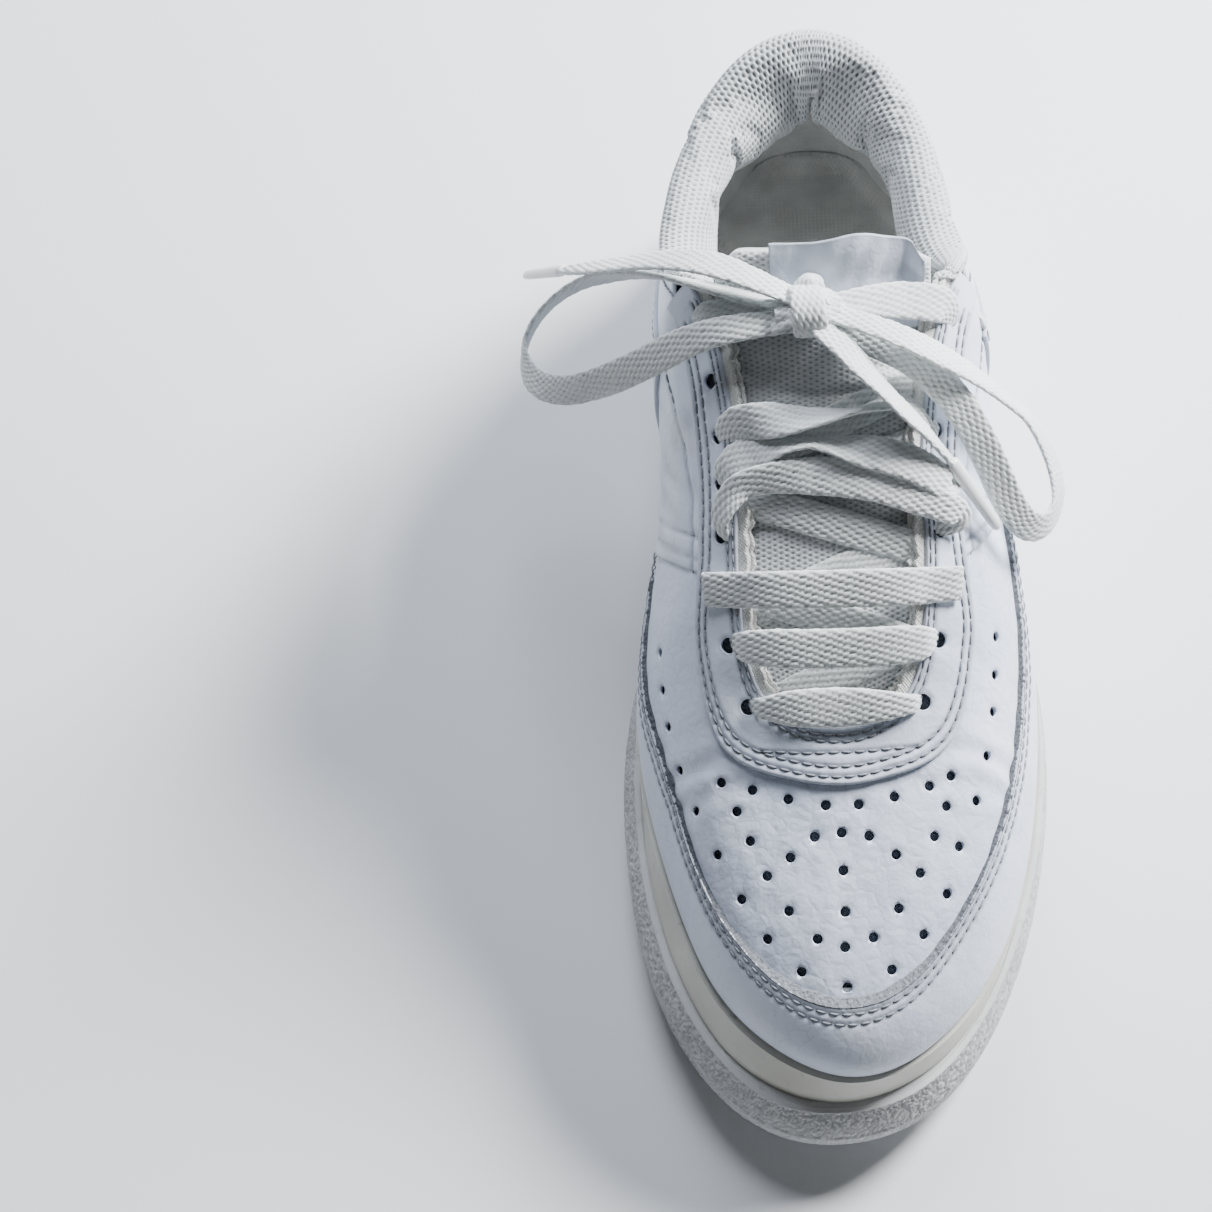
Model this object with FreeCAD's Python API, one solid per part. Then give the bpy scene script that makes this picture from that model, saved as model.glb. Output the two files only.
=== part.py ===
import FreeCAD, Part
import functools
import math
import os

# Left court shoe. +Z up, toe towards -Y, +X is the outer (lateral) side. Millimetres.
# The origin is on the ground below the middle of the sole.

Vector = FreeCAD.Vector
os.makedirs("parts", exist_ok=True)

# Driving sizes
foxingToe = 21.5        # top of the stippled rubber band at the toe
foxingHeel = 25.0       # and at the heel
featherToe = 30.0       # where the leather meets the rim, at the toe
featherHeel = 43.0      # and at the heel
toeSpring = 9.0         # rise of the tread at the toe tip
heelRise = 3.0          # rise of the tread at the heel tip
treadDepth = 1.6
cupFloor = 5.0          # rubber under the foam
cupWall = 4.5
rimWidth = 7.0          # rim inside the leather's foot
pocketDepth = 6.0       # board and sockliner sit this far below the feather line
leather = 1.2
overlay = 1.4           # outer face of the pieces sewn over the base leather
gap = 0.12              # glue line between layers of one body
overlayGap = 0.25       # and under the pieces sewn on top
eyeletRadius = 2.0
eyeletInset = 7.0       # eyelet centre to throat edge
laceWidth = 8.0
laceThick = 1.5
cordRadius = 2.0        # round tube of the flat lace's section area
tongueHalf = 24.5

# One row per station round the shoe, from the heel along the inner side to the toe and back:
# sole outline x y, feather line x y, opening edge x y z, then how the leather leaves the rim
# (rise, outward lean in degrees) and arrives at the edge (run, drop in degrees)
stations = {
    "heel": (-1, 141, -1, 135, -1, 127, 95, 22, 12, 16, 80),
    "heelInner": (-24, 133, -22, 128.5, -17.5, 121.5, 93, 22, 12, 16, 80),
    "collarInner": (-37, 110, -34, 106.5, -30.5, 104.5, 88, 22, 12, 16, 78),
    "ankleInner": (-40, 80, -37.5, 77.5, -37, 81, 87.5, 22, 12, 14, 75),
    "topInner": (-39.5, 53, -37.5, 55, -37, 65, 93, 28, 14, 18, 70),
    "cornerInner": (-39, 34, -37.5, 38, -32, 53, 103, 32, 15, 22, 58),
    "waistInner": (-40, 17, -38.5, 20, -25.5, 37, 103, 32, 12, 22, 42),
    "archInner": (-46, -3, -43, -3, -21.5, 12, 95, 30, 8, 20, 35),
    "jointInner": (-53, -33, -48.5, -31, -21.5, -11, 86, 24, 4, 20, 32),
    "ballInner": (-53.6, -65, -46, -61, -21, -27, 78, 18, 2, 20, 30),
    "cheekInner": (-46.5, -102, -37, -93, -18, -41, 71, 16, 2, 24, 26),
    "bumpInner": (-27, -132.5, -24, -115, -10, -48.5, 68, 15, 6, 30, 22),
    "toe": (-2.5, -141, -1, -128, -1, -50, 67.5, 15, 8, 34, 21),
    "bumpOuter": (23, -131, 22, -119, 8, -48.5, 68, 15, 6, 30, 22),
    "cheekOuter": (44, -98, 40, -93, 16, -41, 71, 16, 2, 24, 26),
    "ballOuter": (54, -55, 49, -53, 19, -27, 78, 18, 2, 20, 30),
    "jointOuter": (53.5, -19, 49, -18, 19.5, -11, 86, 24, 4, 20, 32),
    "archOuter": (48, 10, 44.5, 10, 19.5, 12, 95, 30, 6, 20, 35),
    "waistOuter": (42.5, 32, 40, 32, 24, 37, 103, 32, 8, 22, 42),
    "cornerOuter": (40.5, 47, 38, 47, 30.5, 53, 103, 32, 10, 20, 58),
    "topOuter": (39.5, 62, 37, 62, 33.5, 65, 92, 28, 10, 18, 70),
    "ankleOuter": (38.5, 82, 36, 81, 31, 81, 86, 22, 10, 14, 75),
    "collarOuter": (34, 111, 31.5, 107, 26.5, 104, 87, 22, 10, 16, 78),
    "heelOuter": (21.5, 134, 20, 128.5, 14.5, 121, 93, 22, 12, 16, 80),
}
names = list(stations)
at = {name: float(i) for i, name in enumerate(names)}
count = len(names)


def closedSpline(rows):
    """Control values of the closed cubic spline that passes through the rows."""
    control = [list(row) for row in rows]
    for _ in range(30):
        for i, row in enumerate(rows):
            near = zip(control[i - 1], control[(i + 1) % count])
            control[i] = [(6 * r - a - b) / 4 for r, (a, b) in zip(row, near)]
    return control


def ringValue(control, s):
    """Values of the closed spline at station s."""
    i = math.floor(s)
    t = s - i
    weights = ((1 - t) ** 3, 3 * t**3 - 6 * t**2 + 4, -3 * t**3 + 3 * t**2 + 3 * t + 1, t**3)
    four = [control[(i - 1 + j) % count] for j in range(4)]
    return [sum(w * row[k] for w, row in zip(weights, four)) / 6 for k in range(len(four[0]))]


ring = closedSpline(list(stations.values()))


def blend(value, low, high):
    """0 below low, 1 above high, smooth between."""
    t = min(1.0, max(0.0, (value - low) / (high - low)))
    return t * t * (3 - 2 * t)


def featherHeight(y):
    return featherToe + (featherHeel - featherToe) * blend(y, -70, 120)


def foxingHeight(y):
    return foxingToe + (foxingHeel - foxingToe) * blend(y, -70, 120)


def planNormal(s, column):
    """Outward plan normal of the outline (column 0) or the feather line (column 2)."""
    before = ringValue(ring, s - 0.05)
    after = ringValue(ring, s + 0.05)
    along = Vector(after[column] - before[column], after[column + 1] - before[column + 1], 0)
    along.normalize()
    return Vector(along.y, -along.x, 0)


def planPoint(s, column, outward, z):
    values = ringValue(ring, s)
    return Vector(values[column], values[column + 1], z) + planNormal(s, column) * outward


@functools.lru_cache(None)
def poles(s):
    """Four control points of the leather's section at station s, from the rim to the edge."""
    v = ringValue(ring, s)
    out = planNormal(s, 2)
    up = Vector(0, 0, 1)
    foot = Vector(v[2], v[3], featherHeight(v[3]) + gap)
    edge = Vector(v[4], v[5], v[6])
    lean = math.radians(v[8])
    drop = math.radians(v[10])
    low = foot + (out * math.sin(lean) + up * math.cos(lean)) * v[7]
    high = edge + (out * math.cos(drop) - up * math.sin(drop)) * v[9]
    return foot, low, high, edge


def bezier(four, t):
    a, b, c, d = four
    return a * (1 - t) ** 3 + b * (3 * t * (1 - t) ** 2) + c * (3 * t * t * (1 - t)) + d * t**3


@functools.lru_cache(None)
def sectionTable(s, steps=40):
    """Length along the section at even steps of its parameter."""
    four = poles(s)
    lengths = [0.0]
    last = four[0]
    for i in range(1, steps + 1):
        here = bezier(four, i / steps)
        lengths.append(lengths[-1] + (here - last).Length)
        last = here
    return lengths


def parameterAt(s, length):
    """Section parameter at a length above the rim."""
    table = sectionTable(s)
    length = min(max(length, 0.0), table[-1])
    for i in range(1, len(table)):
        if table[i] >= length:
            share = (length - table[i - 1]) / max(table[i] - table[i - 1], 1e-9)
            return (i - 1 + share) / (len(table) - 1)
    return 1.0


def sectionLength(s):
    return sectionTable(s)[-1]


def skin(s, length, outward=0.0):
    """Point of the upper: station s, length above the rim, distance outward from the base leather."""
    t = parameterAt(s, length)
    point = bezier(poles(s), t)
    step = 0.02
    t0 = max(0.0, t - step)
    t1 = min(1.0, t + step)
    upward = bezier(poles(s), t1) - bezier(poles(s), t0)
    along = bezier(poles(s + 0.05), t) - bezier(poles(s - 0.05), t)
    normal = along.cross(upward)
    normal.normalize()
    return point + normal * outward


def face(grid):
    surface = Part.BSplineSurface()
    surface.interpolate(grid)
    return surface


def slab(lower, upper):
    """Closed solid between two matching grids of points."""
    a = face(lower)
    b = face(upper)
    faces = [a.toShape(), b.toShape()]
    ua0, ua1, va0, va1 = a.bounds()
    ub0, ub1, vb0, vb1 = b.bounds()
    pairs = [
        (a.uIso(ua0), b.uIso(ub0)),
        (a.uIso(ua1), b.uIso(ub1)),
        (a.vIso(va0), b.vIso(vb0)),
        (a.vIso(va1), b.vIso(vb1)),
    ]
    for one, two in pairs:
        faces.append(Part.makeRuledSurface(one.toShape(), two.toShape(), 1))
    shell = Part.makeShell(faces)
    shell.sewShape(1e-4)
    solid = Part.makeSolid(shell.Shells[0] if shell.Shells else shell)
    if solid.Volume < 0:
        solid.reverse()
    return solid


def panel(start, end, low, high, inner, outer, across=26, upwards=7):
    """Panel of the upper. start and end are functions of the share of height, low and high of the
    station, inner and outer of both."""
    lower = []
    upper = []
    for i in range(across):
        lower.append([])
        upper.append([])
        for j in range(upwards):
            share = j / (upwards - 1)
            s = start(share) + (end(share) - start(share)) * i / (across - 1)
            length = low(s) + (high(s) - low(s)) * share
            lower[-1].append(skin(s, length, inner(s, share)))
            upper[-1].append(skin(s, length, outer(s, share)))
    return slab(lower, upper)


def flat(value):
    return lambda s=0.0, share=0.0: value


def below(distance):
    """Length above the rim of the line this far below the opening edge."""
    return lambda s: sectionLength(s) - distance


def save(name, shape):
    shape.exportStep("parts/" + name + ".step")
    print(name, shape.isValid(), len(shape.Solids), round(shape.Volume, 1))


# --- sole unit


def outlineWire(column, outward, z, points=72):
    """Closed level curve beside the outline (column 0) or the feather line (column 2)."""
    ringPoints = []
    for i in range(points):
        s = count * i / points
        offset = outward(s) if callable(outward) else outward
        ringPoints.append(planPoint(s, column, offset, z))
    curve = Part.BSplineCurve()
    curve.interpolate(Points=ringPoints, PeriodicFlag=True)
    return Part.Wire([curve.toShape()])


def prism(column, outward, low, high):
    wire = outlineWire(column, outward, low)
    return Part.Face(wire).extrude(Vector(0, 0, high - low))


def sideBlock(heights, top, flatSpan=(-72, 112), half=80):
    """Block between the side curve z = heights(y) and the level top, above it or below it. The curve
    is split at the ends of the flat span, where the tread leaves the ground."""
    ends = (-150, *flatSpan, 150)
    edges = []
    for first, last in zip(ends, ends[1:]):
        level = {round(heights(first), 6), round(heights((first + last) / 2), 6), round(heights(last), 6)}
        if len(level) == 1:
            one, two = (Vector(-half, y, heights(y)) for y in (first, last))
            edges.append(Part.makeLine(one, two))
            continue
        steps = max(2, round((last - first) / 13))
        ys = [first + (last - first) * i / steps for i in range(steps + 1)]
        curve = Part.BSplineCurve()
        curve.interpolate([Vector(-half, y, heights(y)) for y in ys])
        edges.append(curve.toShape())
    corners = [Vector(-half, ends[-1], heights(ends[-1])), Vector(-half, ends[-1], top)]
    corners += [Vector(-half, ends[0], top), Vector(-half, ends[0], heights(ends[0]))]
    for one, two in zip(corners, corners[1:]):
        edges.append(Part.makeLine(one, two))
    return Part.Face(Part.Wire(edges)).extrude(Vector(2 * half, 0, 0))


def treadHeight(y):
    return toeSpring * blend(-y, 72, 152) ** 1.4 * 1.15 + heelRise * blend(y, 112, 145)


def rimOffset(s):
    """Outline to foxing line: wide at the toe, close at the outer side."""
    inset = {"heel": 4.5, "collarInner": 3.5, "ankleInner": 3, "waistInner": 3, "jointInner": 4,
             "ballInner": 4.2, "cheekInner": 5, "toe": 7, "cheekOuter": 3.2, "ballOuter": 2.2,
             "archOuter": 2.2, "ankleOuter": 2.5, "collarOuter": 3.2}
    keys = sorted((at[k], v) for k, v in inset.items())
    keys.append((count, inset["heel"]))
    s = s % count
    for (s0, v0), (s1, v1) in zip(keys, keys[1:]):
        if s0 <= s <= s1:
            return -(v0 + (v1 - v0) * blend(s, s0, s1))
    return -4.0


def treadGrooves():
    """Turning rings under the ball and the heel, and flex lines between them."""
    cuts = []
    for centre, radii in ((Vector(2, -50, -5), (10, 17, 24)), (Vector(-1, 90, -5), (8, 14, 20))):
        for radius in radii:
            outer = Part.makeCylinder(radius + 1.5, 5 + treadDepth, centre)
            cuts.append(outer.cut(Part.makeCylinder(radius, 5 + treadDepth, centre)))
    for y in (-14, -2, 10, 22, 34, 46, 58):
        cuts.append(Part.makeBox(58, 2.2, 5 + treadDepth, Vector(-28, y, -5)))
    return cuts


def makeOutsole():
    levels = [(-2, -4.4), (4, -0.8), (9, 0.0), (15, -0.3)]
    levels += [(foxingToe + 0.5, rimOffset), (foxingHeel + 3, rimOffset)]
    body = Part.makeLoft([outlineWire(0, offset, z) for z, offset in levels], True, False)
    body = body.common(sideBlock(foxingHeight, -20))
    body = body.common(sideBlock(treadHeight, 80))
    cavity = prism(0, -cupWall - 3.2, 0, 40).common(sideBlock(lambda y: treadHeight(y) + cupFloor, 80))
    body = body.cut(cavity)
    for groove in treadGrooves():
        body = body.cut(groove)
    return body


def rimLevel(z):
    """Outward distance from the feather line of the rim's wall at height z."""

    def offset(s):
        v = ringValue(ring, s)
        foxing = planPoint(s, 0, rimOffset(s) - 0.7, z)
        foot = Vector(v[2], v[3], z)
        start = (foxing - foot).dot(planNormal(s, 2))
        share = blend(z, foxingHeight(v[3]), featherHeight(v[3]) + 3)
        return start + (2.2 - start) * share

    return offset


def makeMidsoleRim():
    inner = prism(2, -rimWidth, -5, 60)
    low = prism(0, -cupWall - 3.2 - gap, 0, foxingHeel + 2)
    low = low.common(sideBlock(lambda y: treadHeight(y) + cupFloor + gap, 80))
    low = low.common(sideBlock(lambda y: foxingHeight(y) + gap, -20))
    wires = [outlineWire(2, rimLevel(z), z) for z in (20, 24, 28, 32, 37, 46)]
    high = Part.makeLoft(wires, True, False)
    high = high.common(sideBlock(lambda y: foxingHeight(y) + gap, 80))
    high = high.common(sideBlock(featherHeight, -20))
    return low.fuse(high).cut(inner)


def soleLayer(inset, low, high):
    """Layer inside the rim between two heights measured from the pocket floor."""
    body = prism(2, -inset, -5, 60)
    body = body.common(sideBlock(lambda y: featherHeight(y) - pocketDepth + low, 90))
    return body.common(sideBlock(lambda y: featherHeight(y) - pocketDepth + high, -20))


def makeMidsoleFoam():
    body = prism(2, -rimWidth - gap, -5, 60)
    body = body.common(sideBlock(lambda y: treadHeight(y) + cupFloor + gap, 90))
    return body.common(sideBlock(lambda y: featherHeight(y) - pocketDepth - gap, -20))


# --- upper

toeS = at["toe"]
heelS = float(count)


def mudguardHeight(s):
    """Height of the mudguard above the rim: low at the toe, with a shoulder on each side of it."""
    side = abs(s - toeS)
    shoulder = 5 if s < toeS else 8.5
    height = 19.5 + shoulder * blend(side, 0.3, 1.5)
    return height - shoulder * blend(side, 1.8, 3.2) - (2.5 if s < toeS else 0) * blend(side, 3.2, 4.6)


def mudguardEnd(side):
    """End of the mudguard: it leans with the front edge of the quarter."""
    return lambda share: toeS + side * (5.62 - 0.9 * share)


def makeMudguard():
    return panel(mudguardEnd(-1), mudguardEnd(1), flat(0.3), mudguardHeight, flat(overlayGap),
                 flat(overlay), 50, 5)


def eyestayWidth(s):
    """Width of the U-shaped eyestay below the throat edge."""
    side = abs(s - toeS)
    return 16.5 + 2.5 * blend(side, 0.5, 2.0) - 4 * blend(side, 3.0, 4.2) - 1.0 * blend(side, 5, 7)


def quarterFront(side, back=0.0):
    """Station of the quarter's front edge by share of height: furthest forward at its top."""
    return lambda share: toeS + side * (5.7 - 1.9 * share + back)


def makeVamp():
    return panel(quarterFront(-1, -0.06), quarterFront(1, -0.06), flat(0.3), below(11), flat(-leather),
                 flat(0), 60, 13)


def quarterTop(s):
    """Quarters end under the eyestay in front and below the collar roll behind."""
    side = abs(s - toeS)
    return sectionLength(s) - (11 - 6.5 * blend(side, 7.0, 7.8))


eyeletRows = (-46.5, -32.5, -20, -8, 4, 15, 28, 41.5)


def eyeletStation(side, y):
    """Station where the eyelet line passes the plan place y."""
    low, high = 1.2, 7.4
    for _ in range(24):
        middle = (low + high) / 2
        s = toeS + side * middle
        if skin(s, sectionLength(s) - eyeletInset).y < y:
            low = middle
        else:
            high = middle
    return toeS + side * low


def eyeletDrills():
    drills = []
    for side in (-1, 1):
        for y in eyeletRows:
            s = eyeletStation(side, y)
            length = sectionLength(s) - eyeletInset
            inside = skin(s, length, -8)
            outside = skin(s, length, 8)
            drills.append(Part.makeCylinder(eyeletRadius, 16, inside, outside - inside))
    return Part.makeCompound(drills)



def foamDepth(s, share):
    """Thickness of the collar pad: full over the top, thin where it is sewn in."""
    side = min(s % count, count - s % count)
    ends = 1 - blend(side, 3.6, 5.3)
    swell = math.sin(math.pi * (0.12 + 0.88 * share) / 1.25) ** 1.2
    return 0.6 + 7.4 * swell * (0.25 + 0.75 * ends)


def makeEyestay():
    def low(s):
        return sectionLength(s) - eyestayWidth(s)

    ends = flat(at["cornerInner"]), flat(at["cornerOuter"])
    body = panel(*ends, low, below(0.2), flat(overlayGap), flat(overlay), 60, 6)
    return body.cut(eyeletDrills())


def makeEyestayBacking():
    ends = flat(at["cornerInner"]), flat(at["cornerOuter"])
    body = panel(*ends, below(10.6), below(0.8), flat(-leather), flat(0), 60, 4)
    return body.cut(eyeletDrills())


def makeQuarter(side):
    backS = heelS if side > 0 else 0.0
    return panel(quarterFront(side), flat(backS), flat(0.3), quarterTop, flat(-leather), flat(0), 50, 13)


def makeSidePanel(side):
    """Plain panel on the quarter, straight at both ends."""
    return panel(flat(toeS + side * 6.6), flat(toeS + side * 9.0), flat(14), lambda s: 0.62 * sectionLength(s),
                 flat(overlayGap), flat(overlay), 24, 7)


def heelOverlayTop(s):
    """Stepped top edge of the heel overlay."""
    side = min(s % count, count - s % count)
    return 30 - 6 * blend(side, 0.75, 0.95) - 12 * blend(side, 1.5, 2.6)


def makeHeelOverlay():
    return panel(flat(-2.6), flat(2.6), flat(0.3), heelOverlayTop, flat(overlayGap), flat(overlay), 50, 7)


def makeHeelTab():
    return panel(flat(-0.5), flat(0.5), flat(31), below(5.5), flat(overlayGap), flat(overlay), 10, 5)


def makeHeelCounter():
    return panel(flat(-2.8), flat(2.8), flat(0.5), flat(31), flat(-leather - gap - 1.4),
                 flat(-leather - gap), 44, 9)


def makeToePuff():
    return panel(flat(toeS - 2.2), flat(toeS + 2.2), flat(0.5), flat(24), flat(-leather - gap - 0.6),
                 flat(-leather - gap), 40, 9)


def makeVampLining():
    return panel(flat(toeS - 4.1), flat(toeS + 4.1), flat(0.5), below(11.2), flat(-leather - 2.0),
                 flat(-leather - 1.2), 50, 11)


def makeQuarterLining(side):
    near, far = sorted((toeS + side * 5.8, toeS + side * 6.75))
    return panel(flat(near), flat(far), flat(0.5), below(12.5), flat(-leather - 0.9),
                 flat(-leather - gap), 24, 11)


def makeHeelLining():
    return panel(flat(-5.2), flat(5.2), flat(0.5), lambda s: 0.50 * sectionLength(s), flat(-leather - 2.6),
                 flat(-leather - 1.8), 60, 9)


def makeCollarFoam():
    return panel(flat(-5.2), flat(5.2), lambda s: 0.56 * sectionLength(s), below(0.4),
                 lambda s, share: -leather - gap - foamDepth(s, share), flat(-leather - gap), 60, 9)


def makeCollarLining():
    return panel(flat(-5.2), flat(5.2), lambda s: 0.56 * sectionLength(s), below(0.4),
                 lambda s, share: -leather - 2 * gap - 0.8 - foamDepth(s, share),
                 lambda s, share: -leather - 2 * gap - foamDepth(s, share), 60, 9)


def makeCollarRoll():
    """Mesh turned over the top edge of the leather, from outside to inside."""
    return panel(flat(-4.9), flat(4.9), below(4.2), below(0.2), flat(-leather), flat(0.2), 50, 4)


# --- tongue

tongueLine = [(-58, 54), (-46, 63), (-32, 72), (-18, 80), (-4, 87.5), (10, 93.5), (24, 98.5),
              (36, 103.5), (47, 110), (55.5, 118)]


def tongueSpine():
    curve = Part.BSplineCurve()
    curve.interpolate([Vector(-1, y, z) for y, z in tongueLine])
    return curve


def tonguePoint(curve, along, across, lift):
    """Point of the tongue: share along it, share across it, height off its face."""
    first, last = curve.FirstParameter, curve.LastParameter
    t = first + (last - first) * along
    centre = curve.value(t)
    tangent = Vector(*curve.tangent(t)[0])
    up = Vector(1, 0, 0).cross(tangent)
    half = tongueHalf - 9 * (1 - blend(along, 0.0, 0.35)) + 1.5 * blend(along, 0.6, 1)
    crown = 3.5 * (1 - blend(along, 0.0, 0.2)) + 4.5 * blend(along, 0.1, 0.6)
    return centre + Vector(half * across, 0, 0) + up * (lift - crown * across * across)


def tongueLayer(low, high, start=0.0, end=1.0, halfShare=1.0, along=16, across=9):
    curve = tongueSpine()
    lower = []
    upper = []
    for i in range(along):
        lower.append([])
        upper.append([])
        share = i / (along - 1)
        for j in range(across):
            w = (-1 + 2 * j / (across - 1)) * halfShare
            a = start + (end - start) * share
            lower[-1].append(tonguePoint(curve, a, w, low(share, w)))
            upper[-1].append(tonguePoint(curve, a, w, high(share, w)))
    return slab(lower, upper)


def tonguePad(share, w):
    """Depth of the tongue's foam: full in the middle, thin at its rim and its root."""
    fullness = (0.15 + 0.85 * blend(share, 0.0, 0.5)) * (1 - 0.6 * blend(share, 0.9, 1.0))
    return -0.9 - 5.2 * (1 - w**4) * fullness


def makeTongue():
    save("tongue_face", tongueLayer(lambda a, w: -0.8, lambda a, w: 0))
    save("tongue_foam", tongueLayer(lambda a, w: tonguePad(a, w) - 0.4, lambda a, w: -0.86, halfShare=0.95))
    lining = tongueLayer(lambda a, w: tonguePad(a, w) - 1.2, lambda a, w: tonguePad(a, w) - 0.46)
    save("tongue_lining", lining)
    save("tongue_label", tongueLayer(lambda a, w: gap, lambda a, w: 1.2, 0.86, 0.995, 0.72, 8, 7))


# --- laces


def eyeletPoint(side, row):
    s = eyeletStation(side, eyeletRows[row])
    return skin(s, sectionLength(s) - eyeletInset)


def rowSlope(row):
    """Slope of the instep at a row of eyelets."""
    here = eyeletPoint(-1, max(row - 1, 0))
    there = eyeletPoint(-1, min(row + 1, 7))
    return math.atan2(there.z - here.z, there.y - here.y)


def laceBar(row):
    """Flat strap from eyelet to eyelet: low on the eyestay, bowed up over the throat."""
    left, right, slope = eyeletPoint(-1, row), eyeletPoint(1, row), rowSlope(row)
    up = Vector(0, -math.sin(slope), math.cos(slope))
    wide = Vector(0, math.cos(slope), math.sin(slope))
    lower = []
    upper = []
    for i in range(15):
        share = i / 14
        rise = 3.0 + 0.25 * row + 4.6 * (1 - (2 * share - 1) ** 4)
        base = left + (right - left) * share + up * rise
        lower.append([base + wide * (laceWidth * k / 2) for k in (-1, 0, 1)])
        upper.append([base + up * laceThick + wide * (laceWidth * k / 2) for k in (-1, 0, 1)])
    return slab(lower, upper)


def laceCrossing(spine, start, end, side, lift):
    """Flat strap that lies on the tongue under the bars, from one edge of the throat to the other."""
    lower = []
    upper = []
    for i in range(11):
        share = i / 10
        w = side * (-0.74 + 1.48 * share)
        rise = 0.5 + lift * (1 - blend(abs(w), 0.15, 0.5))
        along = start + (end - start) * share
        lower.append([tonguePoint(spine, along + k * 0.022, w, rise) for k in (-1, 0, 1)])
        upper.append([tonguePoint(spine, along + k * 0.022, w, rise + 1.0) for k in (-1, 0, 1)])
    return slab(lower, upper)


def makeLaceCrossings():
    spine = tongueSpine()
    straps = []
    for start in (0.16, 0.27, 0.38, 0.49, 0.60):
        straps.append(laceCrossing(spine, start, start + 0.1, 1, 0))
        straps.append(laceCrossing(spine, start, start + 0.1, -1, 1.15))
    return Part.makeCompound(straps)


knotCentre = Vector(-5, 37.5, 112.3)


def laceTop(side):
    """Strap from the top eyelet up to the knot."""
    start = eyeletPoint(side, 7) + Vector(0, 0, 5.2)
    end = knotCentre + Vector(side * 7, 1, -1)
    lower = []
    upper = []
    for i in range(9):
        share = i / 8
        base = start + (end - start) * share + Vector(0, 0, 2.2 * math.sin(math.pi * share))
        lower.append([base + Vector(0, k * laceWidth / 2, k * 1.2) for k in (-1, 0, 1)])
        upper.append([base + Vector(0, k * laceWidth / 2, k * 1.2 + laceThick) for k in (-1, 0, 1)])
    return slab(lower, upper)


def makeLaceKnot():
    """Rounded block of the wrapped half bow."""
    block = Part.makeBox(13, 10, 8.6, knotCentre - Vector(6.5, 5, 4.3))
    return block.makeFillet(2.6, block.Edges)


def cordTube(name, route, radius=cordRadius):
    """Round tube along straight runs joined by tangent arcs; prints its radii and its volume check."""
    edges = []
    radii = []
    start = route[0]
    for before, corner, after in zip(route, route[1:], route[2:]):
        into = corner - before
        outOf = after - corner
        turn = into.getAngle(outOf)
        reach = 0.45 * min(into.Length, outOf.Length)
        into.normalize()
        outOf.normalize()
        bend = reach / math.tan(turn / 2)
        inward = outOf - into
        inward.normalize()
        first = corner - into * reach
        last = corner + outOf * reach
        middle = corner + inward * (bend / math.cos(turn / 2) - bend)
        edges.append(Part.LineSegment(start, first).toShape())
        edges.append(Part.Arc(first, middle, last).toShape())
        radii.append(round(bend, 1))
        start = last
    edges.append(Part.LineSegment(start, route[-1]).toShape())
    path = Part.Wire(edges)
    section = Part.Wire(Part.makeCircle(radius, route[0], route[1] - route[0]))
    tube = path.makePipeShell([section], True, False)
    expected = math.pi * radius**2 * path.Length
    print(name, "length", round(path.Length, 1), "radii", radii, "volume", round(tube.Volume / expected, 4))
    return tube


# Routes of the free lace, from the knot outwards
loopInner = [(-9, 35.5, 111), (-21, 34.5, 111.5), (-33, 34, 107), (-45, 34, 95), (-57, 36, 81),
             (-67.5, 40, 69.5), (-75.5, 47.5, 62), (-78, 57.5, 60.5), (-72.5, 65.5, 66.5),
             (-62, 67.5, 77), (-50, 62, 90.5), (-39, 53.5, 103), (-27.5, 46, 109.5), (-18, 42, 110.5),
             (-9, 39, 110.5)]
loopOuter = [(-1, 36.5, 113.5), (11, 32, 114), (23, 28, 109.5), (34, 25.5, 101), (43.5, 23.5, 90),
             (50, 22, 80.5), (55.5, 16.5, 71.5), (57.5, 8.5, 66), (54.5, 0.5, 66), (48.5, -3, 71),
             (43, 0.5, 79), (38, 8.5, 89), (31.5, 18, 98), (22, 26.5, 104), (11, 31, 107), (-1, 34.5, 109)]
endInner = [(-7, 39.5, 114), (-18, 44, 117.5), (-29.5, 50, 116), (-40.5, 56, 107.5),
            (-50.5, 62, 95.5), (-59.5, 68.5, 82.5), (-66.5, 75, 70.5)]
endOuter = [(-4, 34, 113), (1, 28.5, 114.5), (8, 21.5, 111), (15.5, 14.5, 106.5), (23, 9, 101),
            (28.5, 4.5, 94.5)]
agletInner = [(-66.5, 75, 70.5), (-77.5, 85.5, 50.5)]
agletOuter = [(28.5, 4.5, 94.5), (40.5, -5, 76.5)]


def vectors(points):
    return [Vector(*point) for point in points]


def aglet(route):
    """Plastic tip: a slim straight tube with rounded ends."""
    start, end = vectors(route)
    tip = Part.makeCylinder(1.9, (end - start).Length, start, end - start)
    return tip.makeFillet(0.6, [tip.Edges[0], tip.Edges[2]])


def makeLaces():
    for row in range(6):
        save("lace_bar_%d" % (row + 1), laceBar(row))
    save("lace_crossings", makeLaceCrossings())
    save("lace_knot", makeLaceKnot())
    save("lace_top_inner", laceTop(-1))
    save("lace_top_outer", laceTop(1))
    save("lace_loop_inner", cordTube("loopInner", vectors(loopInner)))
    save("lace_loop_outer", cordTube("loopOuter", vectors(loopOuter)))
    save("lace_end_inner", cordTube("endInner", vectors(endInner)))
    save("lace_end_outer", cordTube("endOuter", vectors(endOuter)))
    save("aglet_inner", aglet(agletInner))
    save("aglet_outer", aglet(agletOuter))


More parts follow.
